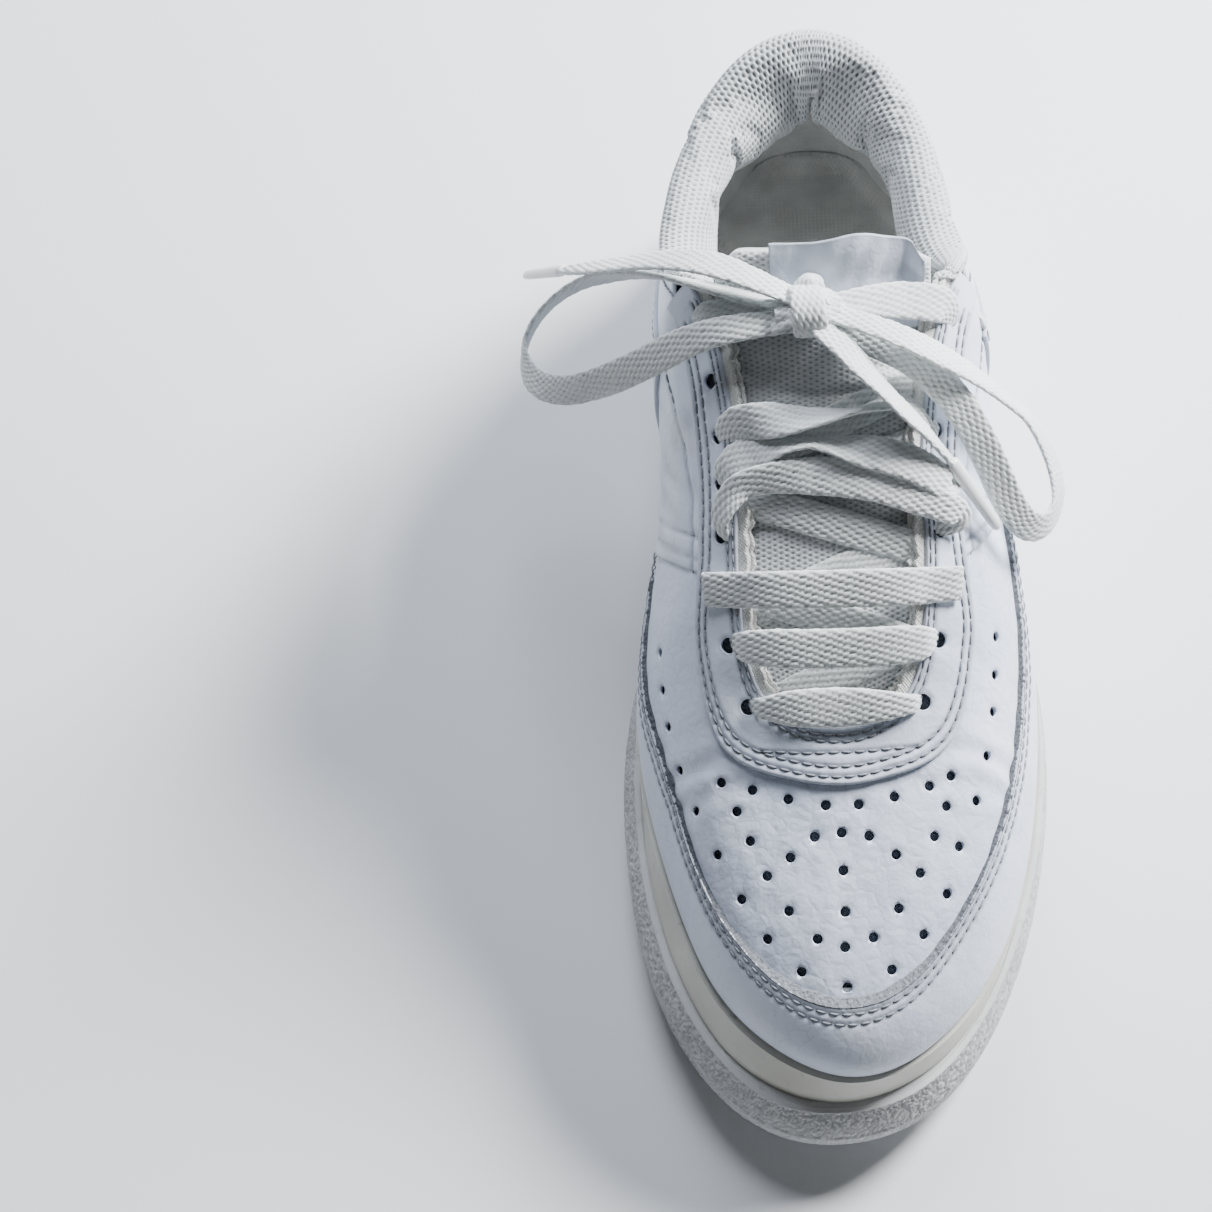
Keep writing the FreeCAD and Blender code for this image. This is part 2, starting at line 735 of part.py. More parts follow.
if __name__ == "__main__":
    save("outsole", makeOutsole())
    save("midsole_rim", makeMidsoleRim())
    save("midsole_foam", makeMidsoleFoam())
    save("insole_board", soleLayer(rimWidth + 0.3, 0, 1.8))
    save("sockliner_foam", soleLayer(rimWidth + 0.5, 1.9, 6.1))
    save("sockliner_cover", soleLayer(rimWidth + 0.5, 6.16, 7.0))
    save("vamp", makeVamp())
    save("vamp_lining", makeVampLining())
    save("toe_puff", makeToePuff())
    save("mudguard", makeMudguard())
    save("eyestay", makeEyestay())
    save("eyestay_backing", makeEyestayBacking())
    for side, word in ((-1, "inner"), (1, "outer")):
        save("quarter_" + word, makeQuarter(side))
        save("quarter_lining_" + word, makeQuarterLining(side))
        save("side_panel_" + word, makeSidePanel(side))
    save("heel_overlay", makeHeelOverlay())
    save("heel_tab", makeHeelTab())
    save("heel_counter", makeHeelCounter())
    save("heel_lining", makeHeelLining())
    save("collar_foam", makeCollarFoam())
    save("collar_lining", makeCollarLining())
    save("collar_roll", makeCollarRoll())
    makeTongue()
    makeLaces()
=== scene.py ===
import math
import bmesh
import bpy
import numpy as np
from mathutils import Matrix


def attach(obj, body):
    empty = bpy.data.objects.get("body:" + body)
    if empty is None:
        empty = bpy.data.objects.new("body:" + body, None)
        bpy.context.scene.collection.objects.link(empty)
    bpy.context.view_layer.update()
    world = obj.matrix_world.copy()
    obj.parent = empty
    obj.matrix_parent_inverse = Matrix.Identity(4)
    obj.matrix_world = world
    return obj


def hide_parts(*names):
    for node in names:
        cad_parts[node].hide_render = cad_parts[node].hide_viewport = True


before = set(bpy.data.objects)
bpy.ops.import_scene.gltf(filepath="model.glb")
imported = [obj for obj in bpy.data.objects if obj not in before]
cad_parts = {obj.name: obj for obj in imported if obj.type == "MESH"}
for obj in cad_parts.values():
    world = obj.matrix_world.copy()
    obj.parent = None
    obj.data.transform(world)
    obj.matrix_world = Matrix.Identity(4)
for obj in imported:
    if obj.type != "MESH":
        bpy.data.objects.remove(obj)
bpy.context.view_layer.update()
mm = 0.001

# camera and light

cameraSetup = {"place": (-30.45, -315.0, 747.2), "turn": (23.5, 2.5, -0.7), "lens": 89.1, "sensor": 36.0}
lightSetup = {
    "key": {"place": (640, 520, 620), "size": 380, "power": 40.0, "colour": "#fdfdff"},
    "back": {"place": (-120, 700, 820), "size": 500, "power": 11.0, "colour": "#eef4ff"},
}


def makeCamera(setup):
    data = bpy.data.cameras.new("camera")
    data.lens = setup["lens"]
    data.sensor_width = setup["sensor"]
    camera = bpy.data.objects.new("camera", data)
    camera.location = [v * mm for v in setup["place"]]
    camera.rotation_euler = [math.radians(v) for v in setup["turn"]]
    bpy.context.scene.collection.objects.link(camera)
    bpy.context.scene.camera = camera


def linear(hexColour):
    """sRGB hex to linear: each channel by the sRGB curve."""
    value = hexColour.lstrip("#")
    channels = [int(value[i:i + 2], 16) / 255 for i in (0, 2, 4)]
    return [c / 12.92 if c <= 0.04045 else ((c + 0.055) / 1.055) ** 2.4 for c in channels]


def rgba(hexColour):
    return (*linear(hexColour), 1.0)


def makeLights(setup):
    for name, row in setup.items():
        data = bpy.data.lights.new(name, "AREA")
        data.shape = "DISK"
        data.size = row["size"] * mm
        data.energy = row["power"]
        data.color = linear(row["colour"])
        lamp = bpy.data.objects.new(name, data)
        place = np.array(row["place"]) * mm
        lamp.location = place
        aim = np.array([0.0, 0.0, 0.05]) - place
        lamp.rotation_euler = (math.atan2(math.hypot(aim[0], aim[1]), -aim[2]), 0,
                               math.atan2(aim[0], -aim[1]) + math.pi)
        bpy.context.scene.collection.objects.link(lamp)
    world = bpy.data.worlds.new("paleRoom")
    world.use_nodes = True
    world.node_tree.nodes["Background"].inputs["Color"].default_value = rgba("#f1f4f8")
    world.node_tree.nodes["Background"].inputs["Strength"].default_value = 0.13
    bpy.context.scene.world = world


# node helper

def addNode(tree, kind, settings=None, inputs=None):
    """Adds a node; settings are its properties, inputs are socket values or links from other sockets."""
    node = tree.nodes.new(kind)
    for key, value in (settings or {}).items():
        setattr(node, key, value)
    for key, value in (inputs or {}).items():
        socket = node.inputs[key]
        if isinstance(value, bpy.types.NodeSocket):
            tree.links.new(value, socket)
        else:
            socket.default_value = value
    return node


def newMaterial(name, **sockets):
    """Material with one Principled shader; sockets set its plain values."""
    material = bpy.data.materials.new(name)
    material.use_nodes = True
    tree = material.node_tree
    shader = tree.nodes["Principled BSDF"]
    for key, value in sockets.items():
        shader.inputs[key.replace("_", " ")].default_value = value
    return material, tree, shader


def ramp(tree, source, stops):
    """Colour ramp through (place, hex) stops."""
    node = addNode(tree, "ShaderNodeValToRGB", inputs={"Fac": source})
    elements = node.color_ramp.elements
    elements[0].position, elements[0].color = stops[0][0], rgba(stops[0][1])
    elements[1].position, elements[1].color = stops[-1][0], rgba(stops[-1][1])
    for place, colour in stops[1:-1]:
        elements.new(place).color = rgba(colour)
    return node.outputs["Color"]


def mixColour(tree, factor, one, two, mode="MIX"):
    node = addNode(tree, "ShaderNodeMix", {"data_type": "RGBA", "blend_type": mode})
    for index, value in ((0, factor), (6, one), (7, two)):
        if isinstance(value, bpy.types.NodeSocket):
            tree.links.new(value, node.inputs[index])
        else:
            node.inputs[index].default_value = value if index == 0 else rgba(value)
    return node.outputs[2]


def maths(tree, operation, one, two=0.5, clamp=False):
    node = addNode(tree, "ShaderNodeMath", {"operation": operation, "use_clamp": clamp})
    for index, value in ((0, one), (1, two)):
        if isinstance(value, bpy.types.NodeSocket):
            tree.links.new(value, node.inputs[index])
        else:
            node.inputs[index].default_value = value
    return node.outputs[0]


def bumpChain(tree, shader, layers):
    """Bump nodes in a row, each a (height socket, distance in mm, strength)."""
    normal = None
    for height, distance, strength in layers:
        inputs = {"Height": height, "Distance": distance * mm, "Strength": strength}
        if normal:
            inputs["Normal"] = normal
        normal = addNode(tree, "ShaderNodeBump", inputs=inputs).outputs["Normal"]
    tree.links.new(normal, shader.inputs["Normal"])


def objectPlace(tree):
    return addNode(tree, "ShaderNodeTexCoord").outputs["Object"]


def attribute(tree, name):
    return addNode(tree, "ShaderNodeAttribute", {"attribute_name": name}).outputs["Fac"]


def perMm(size):
    """Texture scale for a feature of this size in mm, as object coordinates are metres."""
    return 1000.0 / size


# the shoe's form: the same stations as the solids, in mm

pattern = {
    "featherToe": 30.0, "featherHeel": 43.0, "foxingToe": 21.5, "foxingHeel": 25.0,
    "toeSpring": 9.0, "heelRise": 3.0, "leather": 1.2,
}
stations = {  # outline x y, feather x y, opening x y z, rise, lean, run, drop
    "heel": (-1, 141, -1, 135, -1, 127, 95, 22, 12, 16, 80),
    "heelInner": (-24, 133, -22, 128.5, -17.5, 121.5, 93, 22, 12, 16, 80),
    "collarInner": (-37, 110, -34, 106.5, -30.5, 104.5, 88, 22, 12, 16, 78),
    "ankleInner": (-40, 80, -37.5, 77.5, -37, 81, 87.5, 22, 12, 14, 75),
    "topInner": (-39.5, 53, -37.5, 55, -37, 65, 93, 28, 14, 18, 70),
    "cornerInner": (-39, 34, -37.5, 38, -32, 53, 103, 32, 15, 22, 58),
    "waistInner": (-40, 17, -38.5, 20, -25.5, 37, 103, 32, 12, 22, 42),
    "archInner": (-46, -3, -43, -3, -21.5, 12, 95, 30, 8, 20, 35),
    "jointInner": (-53, -33, -48.5, -31, -21.5, -11, 86, 24, 4, 20, 32),
    "ballInner": (-53.6, -65, -46, -61, -21, -27, 78, 18, 2, 20, 30),
    "cheekInner": (-46.5, -102, -37, -93, -18, -41, 71, 16, 2, 24, 26),
    "bumpInner": (-27, -132.5, -24, -115, -10, -48.5, 68, 15, 6, 30, 22),
    "toe": (-2.5, -141, -1, -128, -1, -50, 67.5, 15, 8, 34, 21),
    "bumpOuter": (23, -131, 22, -119, 8, -48.5, 68, 15, 6, 30, 22),
    "cheekOuter": (44, -98, 40, -93, 16, -41, 71, 16, 2, 24, 26),
    "ballOuter": (54, -55, 49, -53, 19, -27, 78, 18, 2, 20, 30),
    "jointOuter": (53.5, -19, 49, -18, 19.5, -11, 86, 24, 4, 20, 32),
    "archOuter": (48, 10, 44.5, 10, 19.5, 12, 95, 30, 6, 20, 35),
    "waistOuter": (42.5, 32, 40, 32, 24, 37, 103, 32, 8, 22, 42),
    "cornerOuter": (40.5, 47, 38, 47, 30.5, 53, 103, 32, 10, 20, 58),
    "topOuter": (39.5, 62, 37, 62, 33.5, 65, 92, 28, 10, 18, 70),
    "ankleOuter": (38.5, 82, 36, 81, 31, 81, 86, 22, 10, 14, 75),
    "collarOuter": (34, 111, 31.5, 107, 26.5, 104, 87, 22, 10, 16, 78),
    "heelOuter": (21.5, 134, 20, 128.5, 14.5, 121, 93, 22, 12, 16, 80),
}
count = len(stations)
stationAt = {name: i for i, name in enumerate(stations)}
toeS = stationAt["toe"]


def closedSpline(rows):
    """Control values of the closed cubic spline through the rows, by repeated correction."""
    rows = np.asarray(rows, float)
    control = rows.copy()
    for _ in range(60):
        near = np.roll(control, 1, 0) + np.roll(control, -1, 0)
        control += (rows - (4 * control + near) / 6) * 1.2
    return control


def ringValues(control, s):
    """Uniform cubic B-spline: four weights of the fraction t times the four nearest controls."""
    s = np.asarray(s, float)
    i = np.floor(s).astype(int)
    t = (s - i)[..., None]
    weights = ((1 - t) ** 3, 3 * t**3 - 6 * t**2 + 4, -3 * t**3 + 3 * t**2 + 3 * t + 1, t**3)
    return sum(w * control[(i - 1 + j) % len(control)] for j, w in enumerate(weights)) / 6


ring = closedSpline(list(stations.values()))


def smooth(value, low, high):
    """0 below low, 1 above high, 3t^2 - 2t^3 between."""
    t = np.clip((np.asarray(value, float) - low) / (high - low), 0, 1)
    return t * t * (3 - 2 * t)


def featherHeight(y):
    return pattern["featherToe"] + (pattern["featherHeel"] - pattern["featherToe"]) * smooth(y, -70, 120)


def foxingHeight(y):
    return pattern["foxingToe"] + (pattern["foxingHeel"] - pattern["foxingToe"]) * smooth(y, -70, 120)


def treadHeight(y):
    toeLift = pattern["toeSpring"] * smooth(-y, 72, 152) ** 1.4 * 1.15
    return toeLift + pattern["heelRise"] * smooth(y, 112, 145)


def planNormals(s, column):
    """Outward plan normal of the outline (0) or feather line (2): its tangent turned a quarter."""
    along = (ringValues(ring, s + 0.05) - ringValues(ring, s - 0.05))[..., column:column + 2]
    along /= np.linalg.norm(along, axis=-1, keepdims=True)
    return np.stack([along[..., 1], -along[..., 0], np.zeros(along.shape[:-1])], -1)


def sectionPoles(s):
    """Four poles of the section: foot, foot + rise along the lean, edge + run down the drop, edge."""
    v = ringValues(ring, s)
    out = planNormals(s, 2)
    up = np.array([0.0, 0.0, 1.0])
    foot = np.stack([v[..., 2], v[..., 3], featherHeight(v[..., 3])], -1)
    edge = v[..., 4:7]
    lean = np.radians(v[..., 8:9])
    drop = np.radians(v[..., 10:11])
    low = foot + (out * np.sin(lean) + up * np.cos(lean)) * v[..., 7:8]
    high = edge + (out * np.cos(drop) - up * np.sin(drop)) * v[..., 9:10]
    return foot, low, high, edge


def bezier(poles, t):
    t = t[..., None]
    a, b, c, d = poles
    return a * (1 - t) ** 3 + 3 * b * t * (1 - t) ** 2 + 3 * c * t * t * (1 - t) + d * t**3


# lengths along every section, and the section parameter at even shares of them
tableS = np.linspace(0, count, count * 32 + 1)
tableT = np.linspace(0, 1, 81)
tableP = bezier([p[:, None, :] for p in sectionPoles(tableS)], np.broadcast_to(tableT, (len(tableS), 81)))
tableSteps = np.linalg.norm(np.diff(tableP, axis=1), axis=2)
tableL = np.concatenate([np.zeros((len(tableS), 1)), np.cumsum(tableSteps, 1)], 1)
evenShare = np.linspace(0, 1, 129)
tableShare = np.array([np.interp(evenShare * row[-1], row, tableT) for row in tableL])


def sectionLength(s):
    return np.interp(np.mod(s, count), tableS, tableL[:, -1])


def skin(s, length, outward=0.0):
    """Point of the upper at station s, length above the rim, moved outward along the surface normal."""
    s, length, outward = np.broadcast_arrays(np.asarray(s, float), length, outward)
    share = np.clip(length / sectionLength(s), 0, 1) * 128
    place = np.mod(s, count) * 32
    i = np.minimum(place.astype(int), len(tableS) - 2)
    j = np.minimum(share.astype(int), 127)
    u, v = place - i, share - j
    t = ((tableShare[i, j] * (1 - u) + tableShare[i + 1, j] * u) * (1 - v)
         + (tableShare[i, j + 1] * (1 - u) + tableShare[i + 1, j + 1] * u) * v)
    poles = sectionPoles(s)
    point = bezier(poles, t)
    upward = bezier(poles, np.minimum(t + 0.01, 1)) - bezier(poles, np.maximum(t - 0.01, 0))
    along = bezier(sectionPoles(s + 0.04), t) - bezier(sectionPoles(s - 0.04), t)
    normal = np.cross(along, upward)
    normal /= np.linalg.norm(normal, axis=-1, keepdims=True)
    return point + normal * outward[..., None]


# meshes

def gridFaces(rows, columns, start=0, wrapRows=False, wrapColumns=False, flip=False):
    """Quads of a rows x columns grid of vertex numbers."""
    i = np.arange(rows if wrapRows else rows - 1)[:, None]
    j = np.arange(columns if wrapColumns else columns - 1)[None, :]
    i2, j2 = (i + 1) % rows, (j + 1) % columns
    corners = np.broadcast_arrays(i * columns + j, i2 * columns + j, i2 * columns + j2, i * columns + j2)
    quads = np.stack(corners, -1).reshape(-1, 4) + start
    return quads[:, ::-1] if flip else quads


def addPiece(name, points, faces, material, body="shoe", uv=None, marks=None, flat=False):
    """Makes a mesh object from points in mm and lists of quads, and rides it on its body."""
    mesh = bpy.data.meshes.new(name)
    faces = np.concatenate([np.asarray(f).reshape(-1, 4) for f in faces])
    mesh.vertices.add(len(points))
    mesh.vertices.foreach_set("co", (np.asarray(points) * mm).astype(np.float32).ravel())
    mesh.loops.add(faces.size)
    mesh.loops.foreach_set("vertex_index", faces.astype(np.int32).ravel())
    mesh.polygons.add(len(faces))
    mesh.polygons.foreach_set("loop_start", np.arange(0, faces.size, 4, dtype=np.int32))
    mesh.update(calc_edges=True)
    if uv is not None:
        layer = mesh.uv_layers.new(name="UVMap")
        layer.data.foreach_set("uv", np.asarray(uv, np.float32)[faces.ravel()].ravel())
    for key, values in (marks or {}).items():
        layer = mesh.attributes.new(key, "FLOAT", "POINT")
        layer.data.foreach_set("value", np.asarray(values, np.float32).ravel())
    mesh.validate()
    work = bmesh.new()
    work.from_mesh(mesh)
    bmesh.ops.recalc_face_normals(work, faces=work.faces)
    work.to_mesh(mesh)
    work.free()
    if not flat:
        mesh.shade_smooth()
    piece = bpy.data.objects.new(name, mesh)
    bpy.context.scene.collection.objects.link(piece)
    mesh.materials.append(material)
    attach(piece, body)
    return piece


def shellMesh(outer, inner):
    """Closed shell between two matching grids: outer face, inner face turned over, and four walls."""
    rows, columns = outer.shape[:2]
    size = rows * columns
    points = np.concatenate([outer.reshape(-1, 3), inner.reshape(-1, 3)])
    index = np.arange(size).reshape(rows, columns)
    faces = [gridFaces(rows, columns), gridFaces(rows, columns, size, flip=True)]
    for line, turn in ((index[0], True), (index[-1], False), (index[:, 0], False), (index[:, -1], True)):
        wall = np.stack([line[:-1], line[1:], line[1:] + size, line[:-1] + size], 1)
        faces.append(wall[:, ::-1] if turn else wall)
    return points, faces


def thinShell(outer, inner):
    """Closed shell whose back keeps one vertex in three each way; its walls are two quads per back edge."""
    rows, columns = outer.shape[:2]
    back = inner[::3, ::3]
    fewRows, fewColumns = back.shape[:2]
    border = lambda index: np.concatenate([index[0, :-1], index[:-1, -1], index[-1, :0:-1], index[:0:-1, 0]])
    front = border(np.arange(rows * columns).reshape(rows, columns))
    behind = border(np.arange(fewRows * fewColumns).reshape(fewRows, fewColumns) + rows * columns)
    k = 3 * np.arange(len(behind))
    f = [front[(k + n) % len(front)] for n in range(4)]
    following = np.roll(behind, -1)
    walls = [np.stack([f[0], f[1], f[2], behind], 1), np.stack([f[2], f[3], following, behind], 1)]
    faces = [gridFaces(rows, columns), gridFaces(fewRows, fewColumns, rows * columns, flip=True)] + walls
    return np.concatenate([outer.reshape(-1, 3), back.reshape(-1, 3)]), faces


def unit(vectors):
    return vectors / np.maximum(np.linalg.norm(vectors, axis=-1, keepdims=True), 1e-9)


def noise(points, size, seed=0):
    """Smooth value noise of numpy points: sum of sines of turned, unevenly spaced waves."""
    turn = np.random.default_rng(seed).normal(size=(7, 3))
    phase = np.random.default_rng(seed + 1).uniform(0, 6.28, 7)
    turn /= np.linalg.norm(turn, axis=1, keepdims=True)
    scales = size * np.array([1.0, 0.83, 1.3, 0.61, 1.7, 0.47, 0.9])
    waves = [np.sin(points @ turn[k] * (6.28 / scales[k]) + phase[k]) for k in range(7)]
    return sum(waves) / 3.2


def skinOver(s, length, outward=0.0):
    """As skin, and past the opening edge it goes on straight along the section's last direction."""
    s, length, outward = np.broadcast_arrays(np.asarray(s, float), length, outward)
    full = sectionLength(s)
    inside = np.minimum(length, full)
    point = skin(s, inside, outward)
    upward = skin(s, full, outward) - skin(s, full - 1.5, outward)
    upward /= np.linalg.norm(upward, axis=-1, keepdims=True)
    return point + upward * (length - inside)[..., None]


def relief(points):
    """Gentle unevenness of worn leather, in mm: two sizes of smooth noise, lower near the rim."""
    lift = 0.22 * noise(points, 34, 3) + 0.08 * noise(points, 11, 5)
    return lift * smooth(points[..., 2], 32, 50)


def lengthAtY(s, y):
    """Length above the rim where the skin at station s crosses this y, read from a fine table."""
    share = np.linspace(0.02, 1, 80)
    found = []
    for one in np.atleast_1d(s):
        full = sectionLength(one)
        column = skin(np.full(80, one), share * full)[:, 1]
        found.append(np.interp(y, column, share * full))
    return np.array(found)


def edgeSteps(low, high, step, rim):
    """Even steps between low and high, with closer ones within rim of both ends."""
    near = rim * np.array([0.0, 0.12, 0.35, 0.65])
    middle = np.linspace(low + rim, high - rim, max(3, int((high - low) / step)))
    return np.concatenate([low + near, middle, high - near[::-1]])


def nearestDistance(points, line):
    """Distance of every point to the nearest point of a fine line, in blocks."""
    flat = points.reshape(-1, 3)
    result = np.empty(len(flat))
    for start in range(0, len(flat), 4000):
        block = flat[start:start + 4000]
        square = (block**2).sum(1)[:, None] - 2 * block @ line.T + (line**2).sum(1)[None, :]
        result[start:start + 4000] = np.sqrt(np.maximum(square.min(1), 0))
    return result.reshape(points.shape[:-1])


def evenPath(points, step):
    """Points at even steps of length along a fine polyline."""
    points = np.asarray(points, float)
    reach = np.concatenate([[0], np.cumsum(np.linalg.norm(np.diff(points, axis=0), axis=1))])
    places = np.linspace(0, reach[-1], max(3, int(round(reach[-1] / step)) + 1))
    return np.stack([np.interp(places, reach, points[:, k]) for k in range(3)], 1), places


def throughPoints(points, steps=24):
    """Catmull-Rom curve: each run is a cubic through its two points, with its neighbours' chord as slope."""
    p = np.asarray(points, float)
    p = np.concatenate([[2 * p[0] - p[1]], p, [2 * p[-1] - p[-2]]])
    t = np.linspace(0, 1, steps, endpoint=False)[:, None]
    runs = []
    for a, b, c, d in zip(p[:-3], p[1:-2], p[2:-1], p[3:]):
        runs.append(0.5 * (2 * b + (c - a) * t + (2 * a - 5 * b + 4 * c - d) * t**2
                           + (3 * b - a - 3 * c + d) * t**3))
    return np.concatenate(runs + [p[-2:-1]])


# leather panels

panelSetup = {"step": 0.8, "rim": 1.2, "seamWidth": 0.62, "seamDepth": 0.34, "stitchPitch": 3.2,
              "thread": 0.27}


def panelFrame(start, end, low, high, step, across):
    """Grid of station and length: u runs from start to end, w from low to high; both may lean."""
    lean = lambda value, share: value(share) if callable(value) else np.full_like(share, float(value))
    middle = np.array([0.5])
    s0, s1 = lean(start, middle)[0], lean(end, middle)[0]
    walk = skin(np.linspace(s0, s1, 200), np.full(200, 10.0))
    size = np.linalg.norm(np.diff(walk, axis=0), axis=1).sum()
    u = edgeSteps(0, size, step, panelSetup["rim"]) / size
    w = edgeSteps(0, across, step, panelSetup["rim"]) / across
    u, w = np.meshgrid(u, w, indexing="ij")
    s = lean(start, w) + (lean(end, w) - lean(start, w)) * u
    bottom = low(s) if callable(low) else np.full_like(s, float(low))
    top = high(s) if callable(high) else np.full_like(s, float(high))
    length = bottom + (top - bottom) * w
    border = np.minimum(np.minimum(u, 1 - u) * size, np.minimum(w, 1 - w) * (top - bottom))
    return s, length, border


def leatherPanel(name, start, end, low, high, across, outer, inner, material, seams=(), holes=(), lift=None,
                 replaced=(), step=None, roundness=0.7):
    """Sheet from inner to outer over the form: outer edge rounded by a quarter circle, seams pressed in by
    exp(-(distance/width)^2), and holes cut through as (place, axis, radius)."""
    s, length, border = panelFrame(start, end, low, high, step or panelSetup["step"], across)
    base = skinOver(s, length)
    bend = np.clip(1 - border / roundness, 0, 1)
    rounding = roundness * (1 - np.sqrt(1 - bend**2))
    dirt = np.zeros_like(s)
    press = np.zeros_like(s)
    for line in seams:
        distance = nearestDistance(base, line)
        press += panelSetup["seamDepth"] * np.exp(-(distance / panelSetup["seamWidth"]) ** 2)
        dirt = np.maximum(dirt, np.exp(-(distance / 0.55) ** 2))
    for place, _, radius in holes:
        distance = np.linalg.norm(base - place, axis=-1)
        press += 0.22 * np.exp(-(np.maximum(distance - radius, 0) / 0.7) ** 2)
        dirt = np.maximum(dirt, 0.6 * np.exp(-(np.maximum(distance - radius, 0) / 0.5) ** 2))
    swell = relief(base) + (lift(s, length, base) if lift else 0)
    top = skinOver(s, length, outer + swell - rounding - press)
    bottom = skinOver(s, length, inner + swell)
    points, faces = shellMesh(top, bottom)
    # The edge mark is painted shade: strongest at the rim of the top face and full over the underside.
    marks = {"dirt": np.concatenate([dirt.ravel(), np.zeros(dirt.size)]),
             "edge": np.concatenate([np.exp(-border / 0.8).ravel(), np.ones(border.size)])}
    piece = addPiece(name, points, faces, material, marks=marks)
    if holes:
        punch(piece, holes)
    if replaced:
        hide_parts(*replaced)
    return piece


def punch(piece, holes):
    """Cuts round holes: one cutter mesh of 20-sided cylinders along each hole's axis."""
    turn = np.linspace(0, 2 * np.pi, 20, endpoint=False)
    points, faces = [], []
    for index, (place, axis, radius) in enumerate(holes):
        side = np.cross(axis, [0.3, 1.0, 0.2])
        side /= np.linalg.norm(side)
        other = np.cross(axis, side)
        circle = (np.cos(turn)[:, None] * side + np.sin(turn)[:, None] * other) * radius
        points += [place + circle + axis * 4, place + circle - axis * 4]
        start = index * 40
        faces.append([start + k for k in range(20)])
        faces.append([start + 39 - k for k in range(20)])
        faces += [[start + k, start + 20 + k, start + 20 + (k + 1) % 20, start + (k + 1) % 20]
                  for k in range(20)]
    mesh = bpy.data.meshes.new("punch")
    mesh.from_pydata(((np.concatenate(points)) * mm).tolist(), [], faces)
    cutter = bpy.data.objects.new("punch", mesh)
    bpy.context.scene.collection.objects.link(cutter)
    cut = piece.modifiers.new("punch", "BOOLEAN")
    cut.object = cutter
    cut.operation = "DIFFERENCE"
    cut.solver = "EXACT"
    settle(piece)
    bpy.data.objects.remove(cutter)


def settle(piece):
    """Keeps the mesh as its modifiers leave it, and drops them."""
    graph = bpy.context.evaluated_depsgraph_get()
    done = bpy.data.meshes.new_from_object(piece.evaluated_get(graph))
    piece.modifiers.clear()
    old = piece.data
    piece.data = done
    bpy.data.meshes.remove(old)
    piece.data.shade_smooth()


def stitchRow(line, material, name, outward, pitch=None, thread=None):
    """Stitches as short threads: in each pitch the thread rises by a sine arch and dips at both ends."""
    pitch = pitch or panelSetup["stitchPitch"]
    thread = thread or panelSetup["thread"]
    points, faces, shade = [], [], []
    turn = np.linspace(0, 2 * np.pi, 6, endpoint=False)
    t = np.linspace(0, 1, 7)
    start = 0
    for s, length in line:
        swell = relief(skinOver(s, length))
        fine = skinOver(s, length, outward + swell)
        upward = unit(fine - skinOver(s, length, outward + swell - 1.0))
        base, places = evenPath(fine, pitch / 6)
        reach = np.concatenate([[0], np.cumsum(np.linalg.norm(np.diff(fine, axis=0), axis=1))])
        up = unit(np.stack([np.interp(places, reach, upward[:, k]) for k in range(3)], 1))
        count6 = (len(base) - 1) // 6
        if count6 < 1:
            continue
        along = np.gradient(base, axis=0)
        along /= np.linalg.norm(along, axis=1, keepdims=True)
        side = np.cross(along, up)
        for k in range(count6):
            piece = slice(k * 6, k * 6 + 7)
            height = -0.55 + 0.62 * np.sin(np.pi * t) ** 0.5
            radius = thread * (0.55 + 0.45 * np.sin(np.pi * t))
            centre = base[piece] + up[piece] * height[:, None]
            circle = np.cos(turn)[:, None] * side[piece][:, None] + np.sin(turn)[:, None] * up[piece][:, None]
            points.append((centre[:, None] + circle * radius[:, None, None]).reshape(-1, 3))
            faces.append(gridFaces(7, 6, start, wrapColumns=True))
            faces.append(np.array([[start, start + 1, start + 2, start + 3],
                                   [start, start + 3, start + 4, start + 5],
                                   [start + 39, start + 38, start + 37, start + 36],
                                   [start + 41, start + 40, start + 39, start + 36]]))
            # The rise mark is 0 where the thread dips into its holes; the material paints shade there.
            shade.append(np.repeat(np.sin(np.pi * t), 6))
            start += 42
    piece = addPiece(name, np.concatenate(points), faces, material,
                     marks={"rise": np.concatenate(shade)})
    return piece


# materials

